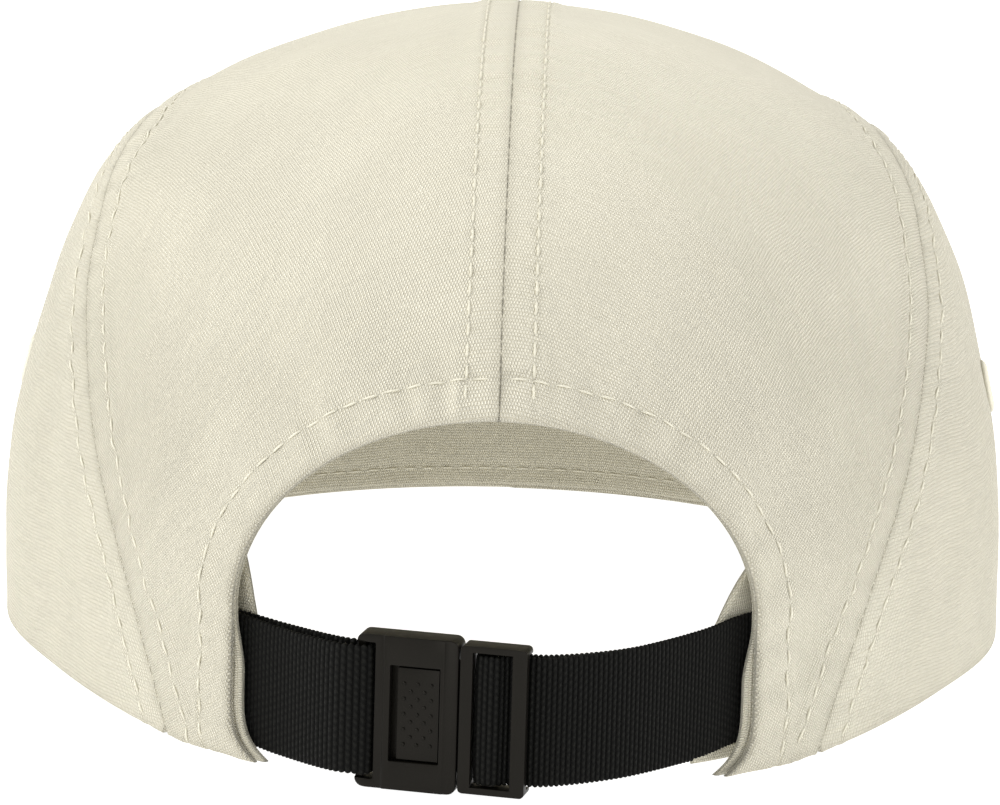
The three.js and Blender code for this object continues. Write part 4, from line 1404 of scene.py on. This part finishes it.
def woven(name, dark, light, knot_pitch, row_pitch, depth):
    """Plain weave from the cloth's own coordinates, with slubs along the rows, fuzz and a slow change of
    tone. The knots are lighter on top and darker between them, painted shade, and this and the relief are
    stronger low down on the crown. Near each edge and seam the cloth is darker, painted shade, and the
    joint of a seam is darker still, in dashes, painted shade in the joint."""
    finish = Finish(name)
    across, along, place = cloth_place(finish)
    knots = weave_height(across, along, knot_pitch, row_pitch, 0.5)
    slub = finish.noise(finish.stretched(place, (110.0, 1700.0, 1.0)), 1.0, 1.0)
    grain = finish.noise(place, 1500.0, 2.0)
    fuzz = finish.noise(place, 5200.0, 2.0)
    spot = finish.spot()
    tone = finish.noise(spot, 24.0, 3.0)
    up = finish.node("ShaderNodeSeparateXYZ", None, {0: spot}, 2)
    calm = ((up - FADE_START) * FADE_RATE).math("MAXIMUM", 0.0).math("MINIMUM", 1.0)
    relief = RELIEF_LOW - calm * (RELIEF_LOW - RELIEF_HIGH)
    height = (knots * (0.6 + slub * 0.8) + grain * 0.25) * relief + fuzz * 0.12
    # Colour: the knots term is painted shade, lighter on the knots and darker between them; slub, grain, fuzz
    # and tone are the cloth's own colour.
    share = (knots - 0.36) * relief * 0.84 + slub * 0.42 + grain * 0.28 + fuzz * 0.14 + tone * 0.3 - 0.09
    colour = finish.colour(share, dark, light)
    # Painted shade: darker within about a millimetre of each edge and seam.
    colour = finish.tint(colour, finish.attribute("seam") * 0.3, tuple(part * 0.8 for part in dark))
    # Painted shade in the joint of a seam, broken into dashes.
    dash = finish.noise(finish.stretched(place, (70.0, 430.0, 1.0)), 1.0, 0.0) * 5.0 - 1.7
    dash = dash.math("MAXIMUM", 0.25).math("MINIMUM", 1.0)
    colour = finish.tint(colour, finish.attribute("joint_shade") * dash, tuple(part * 0.45 for part in dark))
    return finish.close(
        colour, 0.92, height, depth, Sheen_Weight=0.1, Sheen_Roughness=0.5, Specular_IOR_Level=0.2)


def sewing_thread(name, dark, light):
    """Twisted thread: fine slanting noise, and painted shade where each stitch goes into the cloth."""
    finish = Finish(name)
    twist = finish.noise(finish.spot(), 4200.0, 2.0)
    colour = finish.colour(twist, dark, light)
    # Painted shade at each end of a stitch, where it goes into the cloth.
    colour = finish.tint(colour, finish.attribute("end") ** 2.0 * 0.8, tuple(part * 0.3 for part in dark))
    return finish.close(colour, 0.7, twist, 0.00006, Specular_IOR_Level=0.3)


def ribbed_web(name):
    """Black webbing. Its coordinates count ribs along it and millimetres across it: each rib is a row of
    knots. Its colour is darker in the gaps between the knots, painted shade, with light specks of fuzz on the
    knots, painted glints, and the yarn has a faint gloss."""
    finish = Finish(name)
    place = finish.node("ShaderNodeUVMap", {"uv_map": "Cloth"})
    along, across = finish.split(place)
    grain = finish.noise(place, 900.0, 2.0)
    fuzz = finish.noise(place, 3500.0, 2.0)
    knots = weave_height(across + along * 0.16 + grain * 0.5, along, 1.15, 1.0, 0.3)
    height = knots * 0.8 + fuzz * 0.3
    # Painted shade darkens the gaps between the knots, and the fuzz adds painted glints on them.
    share = (knots * 0.75 + fuzz * 0.45 - 0.15).math("MAXIMUM", 0.0) ** 1.6
    colour = finish.colour(share, (0.0008, 0.0008, 0.0006), (0.008, 0.008, 0.0062))
    rough = 0.8 - fuzz * knots * 0.45
    return finish.close(colour, rough, height, 0.00022, Specular_IOR_Level=0.11)


def moulded_plastic(name):
    """Dark moulded plastic with a fine grain and a few faint scuffs."""
    finish = Finish(name)
    spot = finish.spot()
    grain = finish.noise(spot, 3200.0, 3.0)
    scuff = finish.noise(finish.stretched(spot, (500.0, 500.0, 90.0)), 1.0, 4.0)
    tone = finish.noise(spot, 120.0, 2.0)
    colour = finish.colour(tone * 0.7 + scuff * 0.3, (0.0024, 0.0022, 0.0016), (0.006, 0.0053, 0.004))
    rough = 0.26 + grain * 0.1 + scuff * 0.12
    warm = (1, 0.94, 0.84, 1)
    return finish.close(colour, rough, grain, 0.00002, Specular_IOR_Level=0.15, Specular_Tint=warm)


# Camera, light and floor

CAMERA_DISTANCE = 957.0
CAMERA_HEIGHT = 12.4
CAMERA_YAW = -0.8
CAMERA_ROLL = 1.5
CAMERA_LENS = 208.3
CAMERA_TARGET = (1.2, 37.7)
# Area lights by name: place in metres, size in metres, power in watts and colour.
LIGHTS = {
    "key": ((1.35, 0.3, 1.05), 0.9, 21, (1, 0.998, 0.985)),
    "fill": ((-1.5, 0.05, 0.6), 1.0, 14, (1, 1, 1)),
    "low": ((0.1, 1.6, 0.3), 0.6, 4, (1, 1, 1)),
    "front": ((0.1, -1.0, 1.4), 1.2, 7, (1, 1, 1)),
}
LIGHT_AIM = (0, 0.02, 0.04)
WORLD_STRENGTH = 0.56
FLOOR_SIZE, FLOOR_TONE, FLOOR_GLOW = 6.0, 0.45, 0.97


def add_camera():
    """The camera behind the cap, a little above it, aimed at the crown's axis."""
    data = bpy.data.cameras.new("camera")
    data.lens = CAMERA_LENS
    data.sensor_width = 36
    data.clip_end = 20
    camera = add_object("camera", data)
    yaw, lift = math.radians(CAMERA_YAW), math.radians(CAMERA_HEIGHT)
    target = Vector((CAMERA_TARGET[0], SHIFT, CAMERA_TARGET[1])) * MM
    away = Vector((math.sin(yaw) * math.cos(lift), math.cos(yaw) * math.cos(lift), math.sin(lift)))
    camera.location = target + away * CAMERA_DISTANCE * MM
    turned = away.to_track_quat("Z", "Y").to_matrix() @ Matrix.Rotation(math.radians(CAMERA_ROLL), 3, "Z")
    camera.rotation_euler = turned.to_euler()
    bpy.context.scene.camera = camera


def add_light(name, place, size, power, colour):
    """A square soft light, aimed at the cap."""
    data = bpy.data.lights.new(name, "AREA")
    data.size = size
    data.energy = power
    data.color = colour
    light = add_object(name, data)
    light.location = place
    light.rotation_euler = (Vector(place) - Vector(LIGHT_AIM)).to_track_quat("Z", "Y").to_euler()


def add_stage():
    """A pale floor that glows white, a white surround and the soft lights."""
    floor = bpy.data.meshes.new("floor")
    corners = [(x * FLOOR_SIZE, y * FLOOR_SIZE, 0) for x, y in ((-1, -1), (1, -1), (1, 1), (-1, 1))]
    floor.from_pydata(corners, [], [(0, 1, 2, 3)])
    stage = add_object("floor", floor)
    paint = Finish("pale_floor")
    inputs = {"Base Color": (*(FLOOR_TONE,) * 3, 1), "Roughness": 0.9, "Specular IOR Level": 0.1}
    inputs.update({"Emission Color": (1, 1, 1, 1), "Emission Strength": FLOOR_GLOW})
    shader = paint.node("ShaderNodeBsdfPrincipled", None, inputs)
    paint.node("ShaderNodeOutputMaterial", None, {"Surface": shader})
    floor.materials.append(paint.material)
    world = bpy.data.worlds.new("studio")
    world.use_nodes = True
    background = world.node_tree.nodes["Background"]
    background.inputs[0].default_value = (1, 1, 1, 1)
    background.inputs[1].default_value = WORLD_STRENGTH
    bpy.context.scene.world = world
    for name, (place, size, power, colour) in LIGHTS.items():
        add_light(name, place, size, power, colour)
    bpy.context.scene.view_settings.view_transform = "Standard"
    bpy.context.scene.view_settings.look = "None"


canvas = woven("cream_canvas", (0.525, 0.488, 0.376), (0.865, 0.83, 0.702), 0.43, 0.58, 0.00017)
tape = woven("cream_tape", (0.58, 0.54, 0.41), (0.93, 0.895, 0.75), 0.4, 0.5, 0.00017)
thread = sewing_thread("cream_thread", (0.62, 0.587, 0.468), (0.82, 0.79, 0.667))
web = ribbed_web("black_webbing")
plastic = moulded_plastic("dark_plastic")

add_camera()
add_stage()
add_panels(canvas)
add_facing(tape)
add_band(tape)
add_peak(canvas)
add_straps(web)
add_socket(plastic)
add_plug(plastic)
add_eyelets(thread)
for group, lines in stitch_lines.items():
    stitches(group + "_stitching", lines, thread, **TOP_THREADS)
stitches("seam_threads", seam_lines(), thread, **SEAM_THREADS)

bpy.context.view_layer.update()
